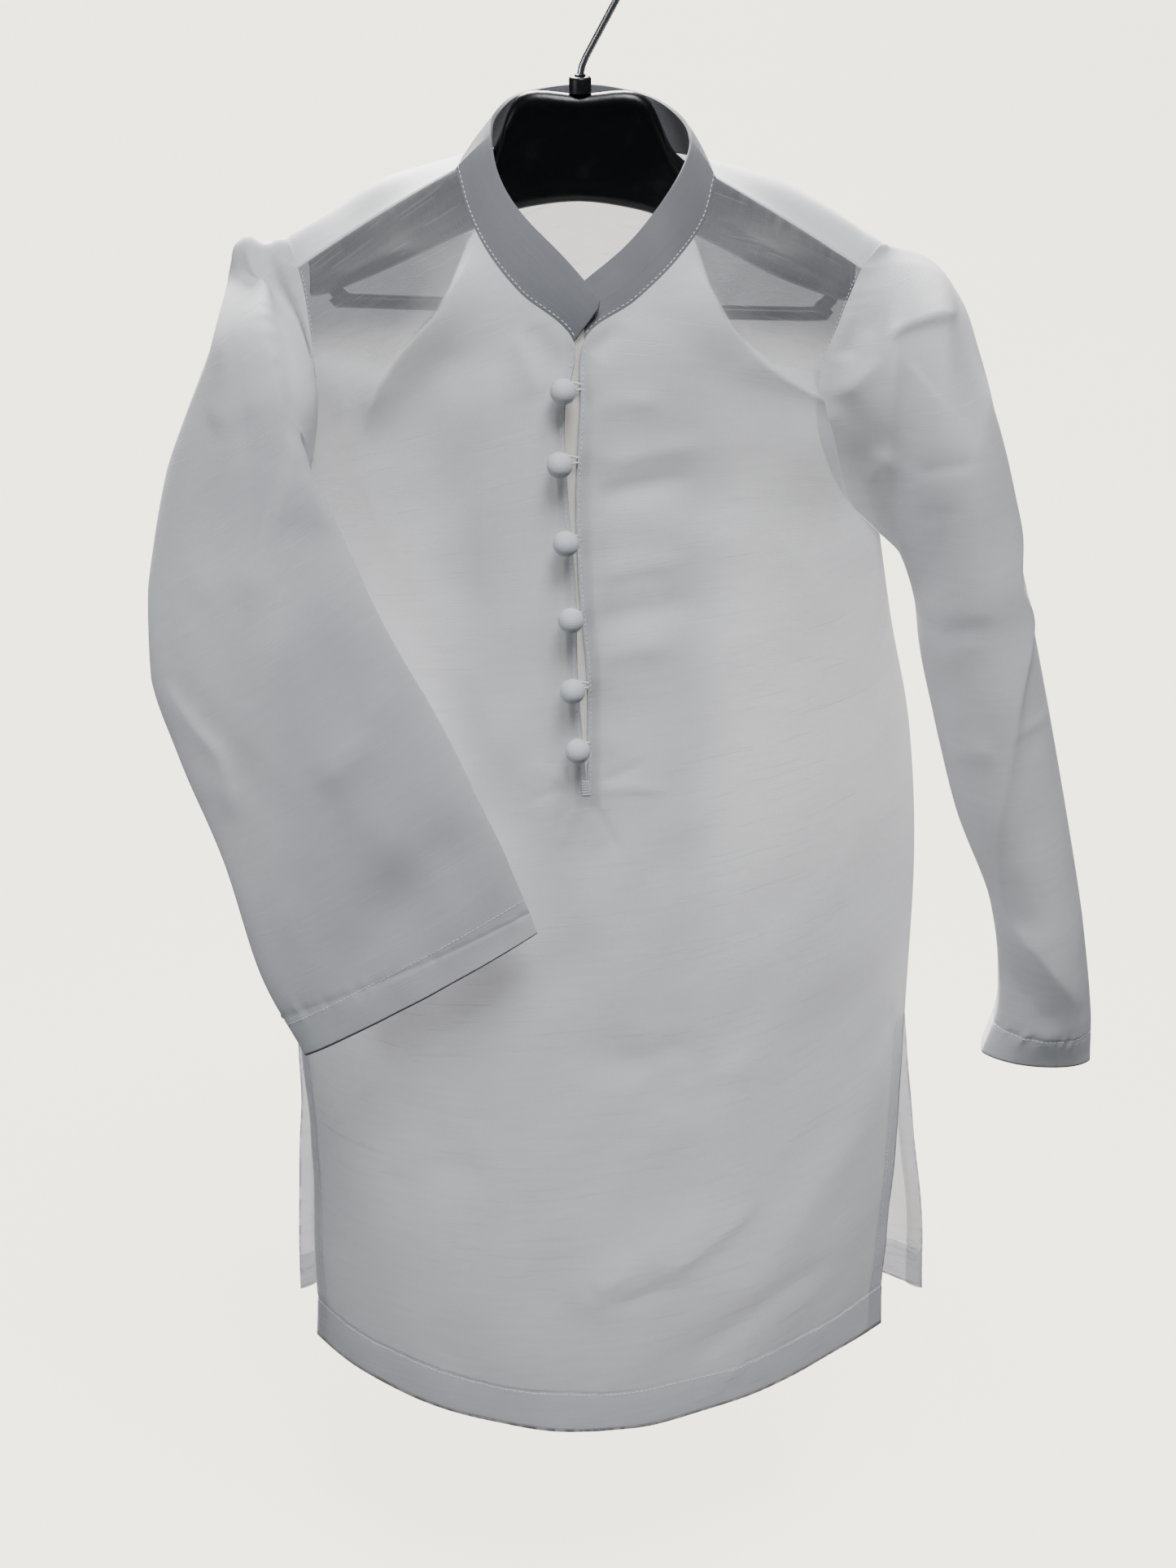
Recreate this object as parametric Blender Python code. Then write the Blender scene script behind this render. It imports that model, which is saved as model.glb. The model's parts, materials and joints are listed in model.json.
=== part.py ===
"""Child's kurta on a hanger.

A pull-over kurta of thin white cloth with a stand collar, a half placket with six covered
buttons and cord loops, set-in long sleeves and side vents, hanging on a moulded hanger.
Origin: the inner top of the wire hook, where a rail carries it. +Z is up and the front of
the garment faces -Y. The wearer's right sleeve is at -X and bends forward over the front.

The tables are in centimetres, with z measured from the level of the shoulder points.
"""
import math

import bmesh
import bpy
import numpy as np
from mathutils.bvhtree import BVHTree

CM = 0.01
HOOK_DROP = 15.0          # hook's inner top above the shoulder points
WALL = 0.12               # panels and sleeves
COLLAR_WALL = 0.20        # two layers with interfacing
STRIP_WALL = 0.10         # placket underlap
UNDERLAP_DROP = 0.3       # of a row, how far its top edge stays below the collar
UNDERLAP_GAP = 0.06       # behind the front
HEM_WALL = 1.5            # turned-up hems, as a factor of the wall
SEAM_GAP = 0.03           # between two pieces at a seam
CLEARANCE = 0.03          # between a piece and what it lies on
MITRE_LIMIT = 1.5         # longest mitre, in walls, where a seam folds back on itself

PANEL_COLUMNS = 11        # cells across half a panel
SLEEVE_STEPS = (3, 3, 3, 4, 4, 4, 4, 3)
UNDERARM_ROW = 7
VENT_ROW = 11
SLIT_ROW = 9              # foot of the slit in the front
NECK_ROW = 4              # neck point at the top of the slit
BACK_NECK_ROW = 3
PANEL_STEPS = (2,) * UNDERARM_ROW + (2, 3, 4, 5) + (3, 3, 3)
WAIST_ROW = 10            # where a panel is cut across, so that its collision pieces are finer
ELBOW_STEP = 4            # where a sleeve is cut across
BODY_AXIS = (0.6, -1.5)   # x and y of a line inside the body, which tells a panel's inner face
NECK_AXIS = (0.3, -0.5)
SHARP_ANGLE = 50          # degrees between two faces that shade as an edge

BUTTON_RADIUS = 0.62
BUTTON_HEIGHTS = (-5.3, -8.7, -12.5, -16.3, -20.0, -23.2)
BUTTON_INSET = 0.28       # from the edge of the slit to a button's middle
SHANK = 0.20              # thread between a button and the cloth
SHANK_RADIUS = 0.14
SHANK_SINK = 0.1          # of a button's radius, how far the shank reaches into it
LOOP_RADIUS = 0.06
LOOP_REACH = 0.30         # middle of the loop's cord round the shank
LOOP_FOOT = 0.14          # of the loop, past the other edge of the slit
LOOP_SPREAD = 0.10        # half the distance between a loop's two feet
LOOP_ANGLES = (110, 250, 7)   # degrees round the shank, and points
WIRE_RADIUS = 0.165
FERRULE_RADIUS = 0.53
FERRULE_BASE = 6.88
FERRULE_HEIGHT = 0.74

# Centre edge of the front, from the side of the neck down the neckline, the slit and the
# centre to the hem: x at the button side and at the loop side, then y and z of each.
FRONT_CENTRE = (
    # button_x, button_y, button_z, loop_x, loop_y, loop_z
    (-5.90, -1.0, 3.55, 6.45, -1.0, 3.15),
    (-5.30, -2.4, 1.80, 5.87, -2.4, 1.45),
    (-4.31, -3.9, 0.25, 4.49, -3.9, -0.12),
    (-2.77, -5.2, -1.35, 2.57, -5.2, -1.70),
    (-0.30, -6.4, -3.30, 0.22, -6.4, -3.20),
    (-0.71, -7.1, -6.50, -0.04, -7.1, -6.50),
    (-0.57, -7.7, -10.5, -0.23, -7.7, -10.5),
    (-0.20, -8.1, -15.0, -0.11, -8.1, -15.0),
    (-0.10, -8.4, -20.0, 0.30, -8.4, -20.0),
    (0.32, -8.7, -25.8, 0.32, -8.7, -25.8),
    (0.50, -9.3, -34.0, 0.50, -9.3, -34.0),
    (0.70, -10.1, -43.5, 0.70, -10.1, -43.5),
    (0.80, -10.7, -50.5, 0.80, -10.7, -50.5),
    (0.90, -11.3, -57.8, 0.90, -11.3, -57.8),
    (0.95, -11.9, -65.0, 0.95, -11.9, -65.0),
)

# Rows of the front from a centre point over a knee, which the cloth rounds, to the outer
# edge: shoulder, armhole, side seam and vent.
FRONT_RIGHT = (
    # knee_x, knee_y, knee_z, edge_x, edge_y, edge_z
    (10.0, -1.35, 1.20, 13.57, -1.5, -1.09),
    (9.7, -3.2, 0.10, 12.92, -2.4, -2.31),
    (9.2, -4.6, -1.20, 12.36, -3.1, -3.55),
    (9.0, -5.9, -2.90, 11.75, -3.6, -5.00),
    (10.5, -6.6, -5.50, 11.45, -3.9, -7.20),
    (12.9, -7.2, -8.20, 11.90, -3.2, -9.60),
    (14.4, -7.0, -11.8, 13.30, -2.1, -12.6),
    (15.2, -7.2, -15.5, 15.30, -0.8, -15.0),
    (14.3, -7.9, -20.0, 16.25, -0.5, -20.0),
    (13.0, -8.6, -26.0, 17.55, -0.4, -26.0),
    (12.0, -9.3, -34.0, 18.35, -0.2, -34.0),
    (11.5, -10.0, -44.0, 18.50, 0.0, -44.4),
    (11.0, -10.8, -50.8, 18.35, -1.3, -51.0),
    (10.6, -11.4, -58.0, 18.10, -2.2, -58.0),
    (8.8, -11.4, -64.6, 18.00, -2.8, -64.7),
)
FRONT_LEFT = (
    # knee_x, knee_y, knee_z, edge_x, edge_y, edge_z
    (-9.8, -1.35, 1.50, -13.60, -1.5, -1.05),
    (-9.4, -3.2, 0.40, -13.25, -2.4, -2.20),
    (-9.0, -4.6, -0.90, -13.00, -3.1, -3.60),
    (-9.2, -5.7, -2.80, -12.85, -3.6, -5.20),
    (-9.8, -6.3, -5.20, -12.80, -3.9, -7.20),
    (-10.6, -6.8, -8.00, -13.10, -3.4, -9.60),
    (-11.2, -7.0, -11.6, -13.90, -2.3, -12.6),
    (-11.6, -7.3, -15.3, -15.00, -0.8, -15.3),
    (-11.8, -7.9, -20.0, -15.70, -0.5, -20.0),
    (-12.0, -8.6, -26.0, -16.20, -0.4, -26.0),
    (-11.0, -9.3, -34.0, -16.40, -0.2, -34.0),
    (-10.5, -10.0, -44.0, -16.30, 0.0, -44.4),
    (-10.0, -10.8, -50.8, -15.80, -1.3, -51.0),
    (-9.6, -11.4, -58.0, -15.70, -2.2, -58.0),
    (-8.6, -11.9, -65.2, -16.03, -2.8, -65.6),
)

BACK_CENTRE = (
    # left_x, left_y, left_z, right_x, right_y, right_z
    (-5.90, -1.0, 3.55, 6.45, -1.0, 3.15),
    (-5.40, 1.2, 3.90, 5.90, 1.2, 3.45),
    (-3.40, 3.2, 3.75, 3.70, 3.2, 3.40),
    (0.20, 4.2, 3.50, 0.20, 4.2, 3.50),
    (0.20, 5.0, 0.00, 0.20, 5.0, 0.00),
    (0.20, 5.4, -5.0, 0.20, 5.4, -5.0),
    (0.20, 5.6, -10.0, 0.20, 5.6, -10.0),
    (0.25, 5.7, -15.5, 0.25, 5.7, -15.5),
    (0.30, 5.8, -20.5, 0.30, 5.8, -20.5),
    (0.40, 6.0, -27.0, 0.40, 6.0, -27.0),
    (0.60, 6.3, -35.0, 0.60, 6.3, -35.0),
    (0.80, 6.5, -44.5, 0.80, 6.5, -44.5),
    (1.00, 6.8, -51.0, 1.00, 6.8, -51.0),
    (1.40, 7.0, -58.0, 1.40, 7.0, -58.0),
    (1.80, 7.1, -65.1, 1.80, 7.1, -65.1),
)
BACK_RIGHT = (
    # knee_x, knee_y, knee_z, edge_x, edge_y, edge_z
    (10.0, -1.35, 1.20, 13.57, -1.5, -1.09),
    (10.6, 0.9, 2.60, 14.67, 0.0, -0.28),
    (10.5, 3.6, 2.00, 14.75, 1.4, -1.30),
    (9.5, 5.2, 1.00, 14.30, 2.6, -3.20),
    (9.0, 6.0, -2.50, 13.90, 3.2, -5.60),
    (10.5, 6.4, -6.50, 13.80, 3.2, -8.40),
    (12.5, 6.2, -11.0, 14.30, 2.0, -12.2),
    (14.5, 5.6, -15.4, 15.30, -0.8, -15.0),
    (14.0, 5.6, -20.0, 16.25, -0.5, -20.0),
    (13.0, 5.9, -26.5, 17.55, -0.4, -26.0),
    (12.0, 6.3, -34.5, 18.35, -0.2, -34.0),
    (11.0, 6.6, -44.4, 18.50, 0.0, -44.4),
    (11.0, 6.9, -51.0, 19.30, 0.3, -51.0),
    (11.5, 7.1, -58.0, 20.40, 0.6, -58.0),
    (12.0, 7.2, -65.0, 20.93, 0.8, -65.0),
)
BACK_LEFT = (
    # knee_x, knee_y, knee_z, edge_x, edge_y, edge_z
    (-9.8, -1.35, 1.50, -13.60, -1.5, -1.05),
    (-10.2, 0.9, 2.70, -14.30, 0.0, 0.00),
    (-10.2, 3.6, 2.10, -14.50, 1.4, -1.20),
    (-9.3, 5.2, 1.10, -14.20, 2.6, -3.20),
    (-9.0, 6.0, -2.40, -13.90, 3.2, -5.60),
    (-10.3, 6.4, -6.50, -13.80, 3.2, -8.40),
    (-12.0, 6.2, -11.0, -14.00, 2.0, -12.2),
    (-14.0, 5.6, -15.4, -15.00, -0.8, -15.3),
    (-13.4, 5.6, -20.0, -15.70, -0.5, -20.0),
    (-12.2, 5.9, -26.5, -16.20, -0.4, -26.0),
    (-11.0, 6.3, -34.5, -16.40, -0.2, -34.0),
    (-10.0, 6.6, -44.4, -16.30, 0.0, -44.4),
    (-9.6, 6.9, -51.0, -16.50, 0.3, -51.0),
    (-9.0, 7.1, -58.0, -17.00, 0.6, -58.5),
    (-8.5, 7.2, -65.0, -17.28, 0.8, -65.1),
)

# Largest soft folds: the line of each, how far it stands out, or in if below nothing, and
# how wide it is to either side.
FRONT_FOLDS = (
    # from_x, from_z, to_x, to_z, height, width
    (-5.8, -0.9, -10.0, -6.0, 0.45, 1.4),
    (-2.6, -3.4, -5.8, -4.6, -0.20, 1.2),
    (4.6, -0.6, 8.0, -4.2, 0.35, 1.4),
    (3.4, -9.7, 5.8, -10.2, -0.22, 1.0),
    (3.6, -15.2, 5.8, -16.2, -0.25, 1.1),
    (4.4, -12.4, 7.4, -13.1, 0.18, 1.2),
    (1.6, -41.2, 6.4, -43.4, -0.20, 1.5),
    (0.4, -55.8, 6.2, -51.9, 0.28, 1.3),
    (9.8, -56.4, 15.0, -50.4, 0.35, 1.5),
    (-4.5, -30.0, -9.0, -40.0, 0.25, 1.8),
)
BACK_FOLDS = (
    # from_x, from_z, to_x, to_z, height, width
    (-4.5, -2.0, -9.5, -13.0, 0.35, 1.6),
    (5.0, -2.5, 9.0, -11.5, 0.40, 1.5),
    (1.5, -16.0, 4.5, -34.0, -0.25, 1.8),
    (-6.0, -24.0, -3.5, -44.0, 0.30, 1.9),
    (8.0, -30.0, 11.5, -48.0, 0.28, 1.7),
    (-9.0, -50.0, -2.0, -55.5, -0.22, 1.5),
)
FOLD_FADE = (6, 4)        # rows from the shoulder and columns from the edge, to full height

# Sections of the sleeves after the armhole: the outer and the inner fold, how far the
# front and the back layer stand off the line between them, how far their fullness leans to
# the outer fold, and how far the cloth is turned against the armhole, in radians.
SLEEVE_LEFT = (
    # outer_x, outer_y, outer_z, inner_x, inner_y, inner_z, front, back, lean, turn
    (17.90, 0.2, -2.3, 16.50, -1.0, -16.2, 4.3, 4.3, 0.5, 0.0),
    (20.20, -0.3, -6.8, 17.20, -1.2, -18.3, 4.2, 4.2, 0.45, 0.0),
    (21.80, -0.8, -13.4, 17.60, -1.5, -20.8, 3.9, 4.2, 0.2, 0.0),
    (23.60, -1.0, -20.2, 18.40, -1.5, -24.0, 3.7, 4.0, 0.1, 0.0),
    (25.60, -1.0, -28.1, 20.20, -1.5, -30.3, 3.6, 3.8, 0, 0.0),
    (27.45, -1.2, -36.1, 22.50, -1.6, -36.2, 3.4, 4.2, 0, 0.0),
    (28.60, -1.7, -42.6, 23.40, -1.9, -42.0, 2.4, 4.8, 0, 0.0),
    (28.90, -2.0, -46.3, 22.70, -2.0, -45.8, 1.3, 5.2, 0, 0.0),
)
SLEEVE_RIGHT = (
    # outer_x, outer_y, outer_z, inner_x, inner_y, inner_z, front, back, lean, turn
    (-17.10, -0.2, -2.3, -13.60, -4.8, -9.5, 2.3, 3.6, 0.0, 0.7),
    (-19.60, -1.6, -8.0, -12.20, -6.7, -10.3, 2.0, 3.4, 0.0, 1.2),
    (-21.30, -2.9, -14.0, -11.05, -7.7, -12.9, 1.6, 3.0, 0.0, 1.4),
    (-22.00, -4.6, -20.0, -9.40, -8.8, -16.7, 1.4, 2.4, 0.0, 1.4),
    (-20.60, -6.0, -25.0, -7.00, -9.7, -21.2, 1.3, 2.0, 0.0, 1.4),
    (-18.50, -7.2, -30.6, -4.60, -10.8, -26.2, 1.2, 2.0, 0.0, 1.4),
    (-16.80, -8.4, -36.8, -3.00, -11.25, -30.0, 1.0, 1.8, 0.0, 1.4),
    (-14.63, -9.2, -41.26, -2.19, -11.4, -32.43, 1.0, 1.8, 0.0, 1.4),
)
# Line of the underarm seam from the armhole along the forward sleeve, which hangs below
# the sections above, and how much of it holds at each.
UNDERARM_RIGHT = (
    # x, y, z, hold
    (-15.00, -0.8, -15.3, 1.0),
    (-16.80, -1.0, -16.6, 1.0),
    (-16.80, -2.6, -17.8, 1.0),
    (-16.60, -4.1, -20.6, 0.8),
    (-15.60, -5.8, -24.0, 0.4),
    (-14.00, -7.2, -28.0, 0.0),
    (-12.00, -8.6, -32.0, 0.0),
    (-10.00, -9.6, -36.0, 0.0),
    (-9.00, -10.0, -38.0, 0.0),
)
SLEEVE_SHARPNESS = 1.35   # 1 is an ellipse and 2 a lens with pointed folds
ARMHOLE_REACH = 2.4       # sections over which the armhole's shape fades out
CAP_RISE = np.array((0.0, 0.75, 1.0, 0.5, 0.15))   # how the cap stands up, from the armhole out
CAP_COLUMN = -2           # points round the sleeve from the shoulder seam to the cap's top
CAP_SPREAD = 10.0
UNDERARM_SPREAD = 4.5       # the higher, the narrower the cloth that the underarm line moves
PUSH_REACH = 2.5          # how deep a sleeve's points are looked for in a panel
PUSH_CLEAR = 0.12         # what they are moved to, off the panel's outer face
OVER_FACE = 0.8           # how nearly a point lies straight over a face, to be moved

# Upper rim of the collar over the points of the neckline, from the end that laps over in
# front, round the back of the neck, to the end underneath.
COLLAR_RIM = (
    # x, y, z
    (1.04, -6.30, -1.45),
    (-0.70, -4.70, 0.20),
    (-2.78, -3.00, 1.95),
    (-3.90, -1.60, 3.45),
    (-4.25, -0.10, 4.95),
    (-4.10, 1.50, 5.70),
    (-2.80, 3.30, 6.30),
    (0.30, 4.30, 6.50),
    (3.30, 3.50, 6.10),
    (4.90, 1.90, 5.40),
    (5.30, -0.10, 4.70),
    (4.80, -1.60, 3.50),
    (3.50, -3.10, 2.00),
    (2.00, -4.10, 0.50),
    (0.10, -4.90, -0.90),
)

# Sections of the hanger across its width: middle of the depth, top, bottom, half depth.
HANGER = (
    # x, y, top, bottom, half_depth
    (-13.2, 0.5, -0.60, -2.90, 1.35),
    (-12.2, 0.5, 0.10, -2.70, 1.55),
    (-9.5, 0.4, 1.40, -1.60, 1.50),
    (-6.5, 0.3, 2.80, -0.20, 1.10),
    (-4.3, 0.1, 4.00, 0.80, 0.80),
    (-2.9, 0.0, 6.75, 1.40, 0.70),
    (0.0, 0.0, 6.80, 1.75, 0.70),
    (3.0, 0.0, 6.75, 1.30, 0.70),
    (4.6, 0.1, 4.00, 0.60, 0.80),
    (6.8, 0.3, 2.70, -0.50, 1.10),
    (9.5, 0.4, 1.30, -1.90, 1.50),
    (12.4, 0.5, 0.00, -3.00, 1.55),
    (13.4, 0.5, -0.70, -3.20, 1.35),
)
HANGER_POINTS = 12
HANGER_ROUNDNESS = 0.75   # 1 is an ellipse and less is squarer
HANGER_BAR = ((-12.6, -1.6), (-11.6, -2.9), (-10.0, -3.1), (10.0, -3.7), (11.8, -3.4), (12.8, -2.2))   # x, z
BAR_STEPS = (2, 2, 4, 2, 2)
BAR_RADIUS = 0.35
BAR_Y = -0.2

# Middle line of the hook's wire, from inside the ferrule to the free tip.
HOOK_STEM = ((0.0, 7.66), (0.10, 8.1), (0.25, 8.45))   # x, z
HOOK_CENTRE = (0.0, 12.835)
HOOK_RADIUS = 2.33
HOOK_ANGLES = (-28.4, 205.0, 24)   # degrees of the arc, from the stem over the top, and points


def spline(points, steps, corners=()):
    """Smooth curve through points, with so many steps to each span and its corners kept."""
    points = np.asarray(points, float)
    stops = [0, *corners, len(points) - 1]
    made = [points[:1]]
    for start, stop in zip(stops, stops[1:]):
        part = points[start:stop + 1]
        part = np.vstack([2 * part[0] - part[1], part, 2 * part[-1] - part[-2]])
        for span in range(stop - start):
            a, b, c, d = part[span:span + 4]
            f = np.linspace(0, 1, steps[start + span] + 1)[1:, None]
            made.append(0.5 * (2 * b + (c - a) * f + (2 * a - 5 * b + 4 * c - d) * f ** 2
                               + (3 * b - a - 3 * c + d) * f ** 3))
    return np.vstack(made)


def place(point):
    """Key of a point that several pieces share at a seam."""
    return tuple(np.round(point, 4))


def unit(vectors):
    """Vectors scaled to length one."""
    return vectors / np.maximum(np.linalg.norm(vectors, axis=-1, keepdims=True), 1e-9)


class Piece:
    """A cloth piece: points on its outer face, quads between them, and its wall."""

    def __init__(self, name, points, quads, inside, wall=WALL):
        self.name = name
        self.points = points
        self.quads = quads
        self.wall = np.full(len(points), wall)
        self.pull = np.zeros_like(points)
        self.lower_name = None
        outward = points - inside
        if np.sum(self.normals() * outward) < 0:
            self.quads = quads[:, ::-1]

    def normals(self):
        """Unit normal at each point."""
        a, b, c, d = (self.points[self.quads[:, k]] for k in range(4))
        face = np.cross(c - a, d - b)
        total = np.zeros_like(self.points)
        for k in range(4):
            np.add.at(total, self.quads[:, k], face)
        return unit(total)

    def middles(self):
        """Mean of the faces round each point, which tells the inner side of an edge."""
        total = np.zeros_like(self.points)
        count = np.zeros(len(self.points))
        face = self.points[self.quads].mean(axis=1)
        for k in range(4):
            np.add.at(total, self.quads[:, k], face)
            np.add.at(count, self.quads[:, k], 1)
        return total / count[:, None]

    def cut_across(self, ids, row, lower_name):
        """Make what lies below a row of the piece's grids a solid of its own."""
        self.lower_name = lower_name
        self.cut = np.concatenate([grid[row] for grid in ids])
        below = np.concatenate([grid[row + 1] for grid in ids])
        above = np.concatenate([grid[row - 1] for grid in ids])
        self.down = unit(self.points[below] - self.points[above])
        lower = np.zeros(len(self.points), bool)
        lower[np.concatenate([grid[row:].ravel() for grid in ids])] = True
        self.is_lower = lower[self.quads].all(axis=1)

    def build(self, material):
        """The piece as one closed mesh, or as two where it is cut across."""
        inward = -self.normals()
        for k, point in enumerate(self.points):
            if place(point) in MITRES:
                inward[k] = np.mean(MITRES[place(point)], axis=0)
        outer = self.points + self.pull
        inner = outer + inward * self.wall[:, None]
        if self.lower_name is None:
            self.close(self.name, outer, inner, self.quads, material)
            return
        for name, quads, side in ((self.name, self.quads[~self.is_lower], -1),
                                  (self.lower_name, self.quads[self.is_lower], 1)):
            shift = np.zeros_like(outer)
            shift[self.cut] = self.down * side * SEAM_GAP / 2
            self.close(name, outer + shift, inner + shift, quads, material)

    def close(self, name, outer, inner, quads, material):
        """Outer face, inner face and the rims between them, as one closed mesh."""
        used = np.unique(quads)
        number = np.zeros(len(outer), int)
        number[used] = np.arange(len(used))
        count = len(used)
        faces = [tuple(number[quad]) for quad in quads]
        faces += [tuple(number[quad[::-1]] + count) for quad in quads]
        edges = {(a, b) for quad in quads.tolist() for a, b in zip(quad, quad[1:] + quad[:1])}
        for a, b in sorted(edges):
            if (b, a) in edges:
                continue
            first, second = number[a], number[b]
            if place(self.points[a]) < place(self.points[b]):
                faces += [(second, first, second + count), (first, first + count, second + count)]
            else:
                faces += [(second, first, first + count), (second, first + count, second + count)]
        add_mesh(name, np.vstack([outer[used], inner[used]]), faces, material)


def join(first, first_ids, second, second_ids):
    """Mitre two pieces along a seam and leave the seam's gap between them."""
    line = first.points[first_ids]
    along = unit(np.gradient(line, axis=0))
    first_normal = first.normals()[first_ids]
    second_normal = second.normals()[second_ids]
    both = first_normal + second_normal
    length = np.linalg.norm(both, axis=1, keepdims=True)
    mitre = -unit(both) * np.minimum(2 / np.maximum(length, 1e-6), MITRE_LIMIT)
    side = unit(np.cross(along, mitre))
    apart = first.middles()[first_ids] - second.middles()[second_ids]
    side *= np.sign(np.sum(side * apart, axis=1, keepdims=True)) * SEAM_GAP / 2
    for k, point in enumerate(line):
        first.pull[first_ids[k]] += side[k]
        second.pull[second_ids[k]] -= side[k]
        MITRES.setdefault(place(point), []).append(mitre[k])


def add_mesh(name, points, faces, material):
    """Object from points in centimetres, with z from the level of the shoulder points."""
    placed = (np.asarray(points) - (0, 0, HOOK_DROP)) * CM
    mesh = bpy.data.meshes.new(name)
    mesh.from_pydata([tuple(p) for p in placed], [], faces)
    mesh.materials.append(material)
    mesh.shade_smooth()
    mesh.set_sharp_from_angle(angle=math.radians(SHARP_ANGLE))
    obj = bpy.data.objects.new(name, mesh)
    PARTS.objects.link(obj)
    return obj


def make_material(name, colour, roughness, metallic=0.0):
    """Plain Principled material."""
    material = bpy.data.materials.new(name)
    material.use_nodes = True
    shader = material.node_tree.nodes["Principled BSDF"]
    shader.inputs["Base Color"].default_value = (*colour, 1)
    shader.inputs["Roughness"].default_value = roughness
    shader.inputs["Metallic"].default_value = metallic
    return material


def half_panel(centre, edge_rows, folds, outward):
    """Half a panel as a grid, each row bent over its knee from the centre to the edge."""
    rows = np.asarray(edge_rows)
    inner = spline(centre, PANEL_STEPS)
    knee = spline(rows[:, :3], PANEL_STEPS)
    edge = spline(rows[:, 3:], PANEL_STEPS, (UNDERARM_ROW, VENT_ROW))
    t = np.linspace(0, 1, PANEL_COLUMNS + 1)[None, :, None]
    inner, knee, edge = inner[:, None], knee[:, None], edge[:, None]
    grid = inner * (1 - t) ** 2 + knee * 2 * t * (1 - t) + edge * t ** 2
    add_folds(grid, folds, outward)
    return grid


def add_folds(grid, folds, outward):
    """Soft ridges and troughs on half a panel, which fade out before its seams."""
    rows, columns = grid.shape[:2]
    down = np.minimum(1, np.arange(rows) / FOLD_FADE[0])
    across = np.minimum(1, np.arange(columns)[::-1] / FOLD_FADE[1])
    flat = grid[..., [0, 2]].copy()
    for from_x, from_z, to_x, to_z, height, width in folds:
        start = np.array([from_x, from_z])
        line = np.array([to_x, to_z]) - start
        share = np.clip((flat - start) @ line / (line @ line), 0, 1)
        off = np.linalg.norm(flat - start - share[..., None] * line, axis=-1)
        grid[..., 1] += outward * height * np.exp(-(off / width) ** 2) * down[:, None] * across


def row_number(table_row):
    """Row of a panel's grid that lies on a row of its table."""
    return sum(PANEL_STEPS[:table_row])


def panel(name, centre, left_rows, right_rows, open_rows, folds, outward):
    """A panel of two halves, which are one from the table row open_rows down."""
    centre = np.asarray(centre)
    left = half_panel(centre[:, :3], left_rows, folds, outward)
    right = half_panel(centre[:, 3:], right_rows, folds, outward)
    rows, columns = left.shape[:2]
    points = np.vstack([left.reshape(-1, 3), right.reshape(-1, 3)])
    left_ids = np.arange(rows * columns).reshape(rows, columns)
    right_ids = left_ids + rows * columns
    joined = row_number(open_rows)
    right_ids[joined:, 0] = left_ids[joined:, 0]
    quads = np.vstack([cells(left_ids), cells(right_ids)[:, ::-1]])
    used = np.unique(quads)
    renumber = np.zeros(len(points), int)
    renumber[used] = np.arange(len(used))
    inside = points[used] * (0, 0, 1) + (*BODY_AXIS, 0)
    piece = Piece(name, points[used], renumber[quads], inside)
    piece.left = renumber[left_ids]
    piece.right = renumber[right_ids]
    hem = np.concatenate([piece.left[-2:].ravel(), piece.right[-2:].ravel()])
    vent_rows = slice(row_number(VENT_ROW) + 1, None)
    vents = np.concatenate([ids[vent_rows, -2:].ravel() for ids in (piece.left, piece.right)])
    piece.wall[np.concatenate([hem, vents])] *= HEM_WALL
    piece.cut_across((piece.left, piece.right[:, 1:]), row_number(WAIST_ROW), name + "_skirt")
    return piece


def cells(ids):
    """Quads of a grid of point numbers."""
    return np.stack([ids[:-1, :-1], ids[1:, :-1], ids[1:, 1:], ids[:-1, 1:]], axis=-1).reshape(-1, 4)


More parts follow.
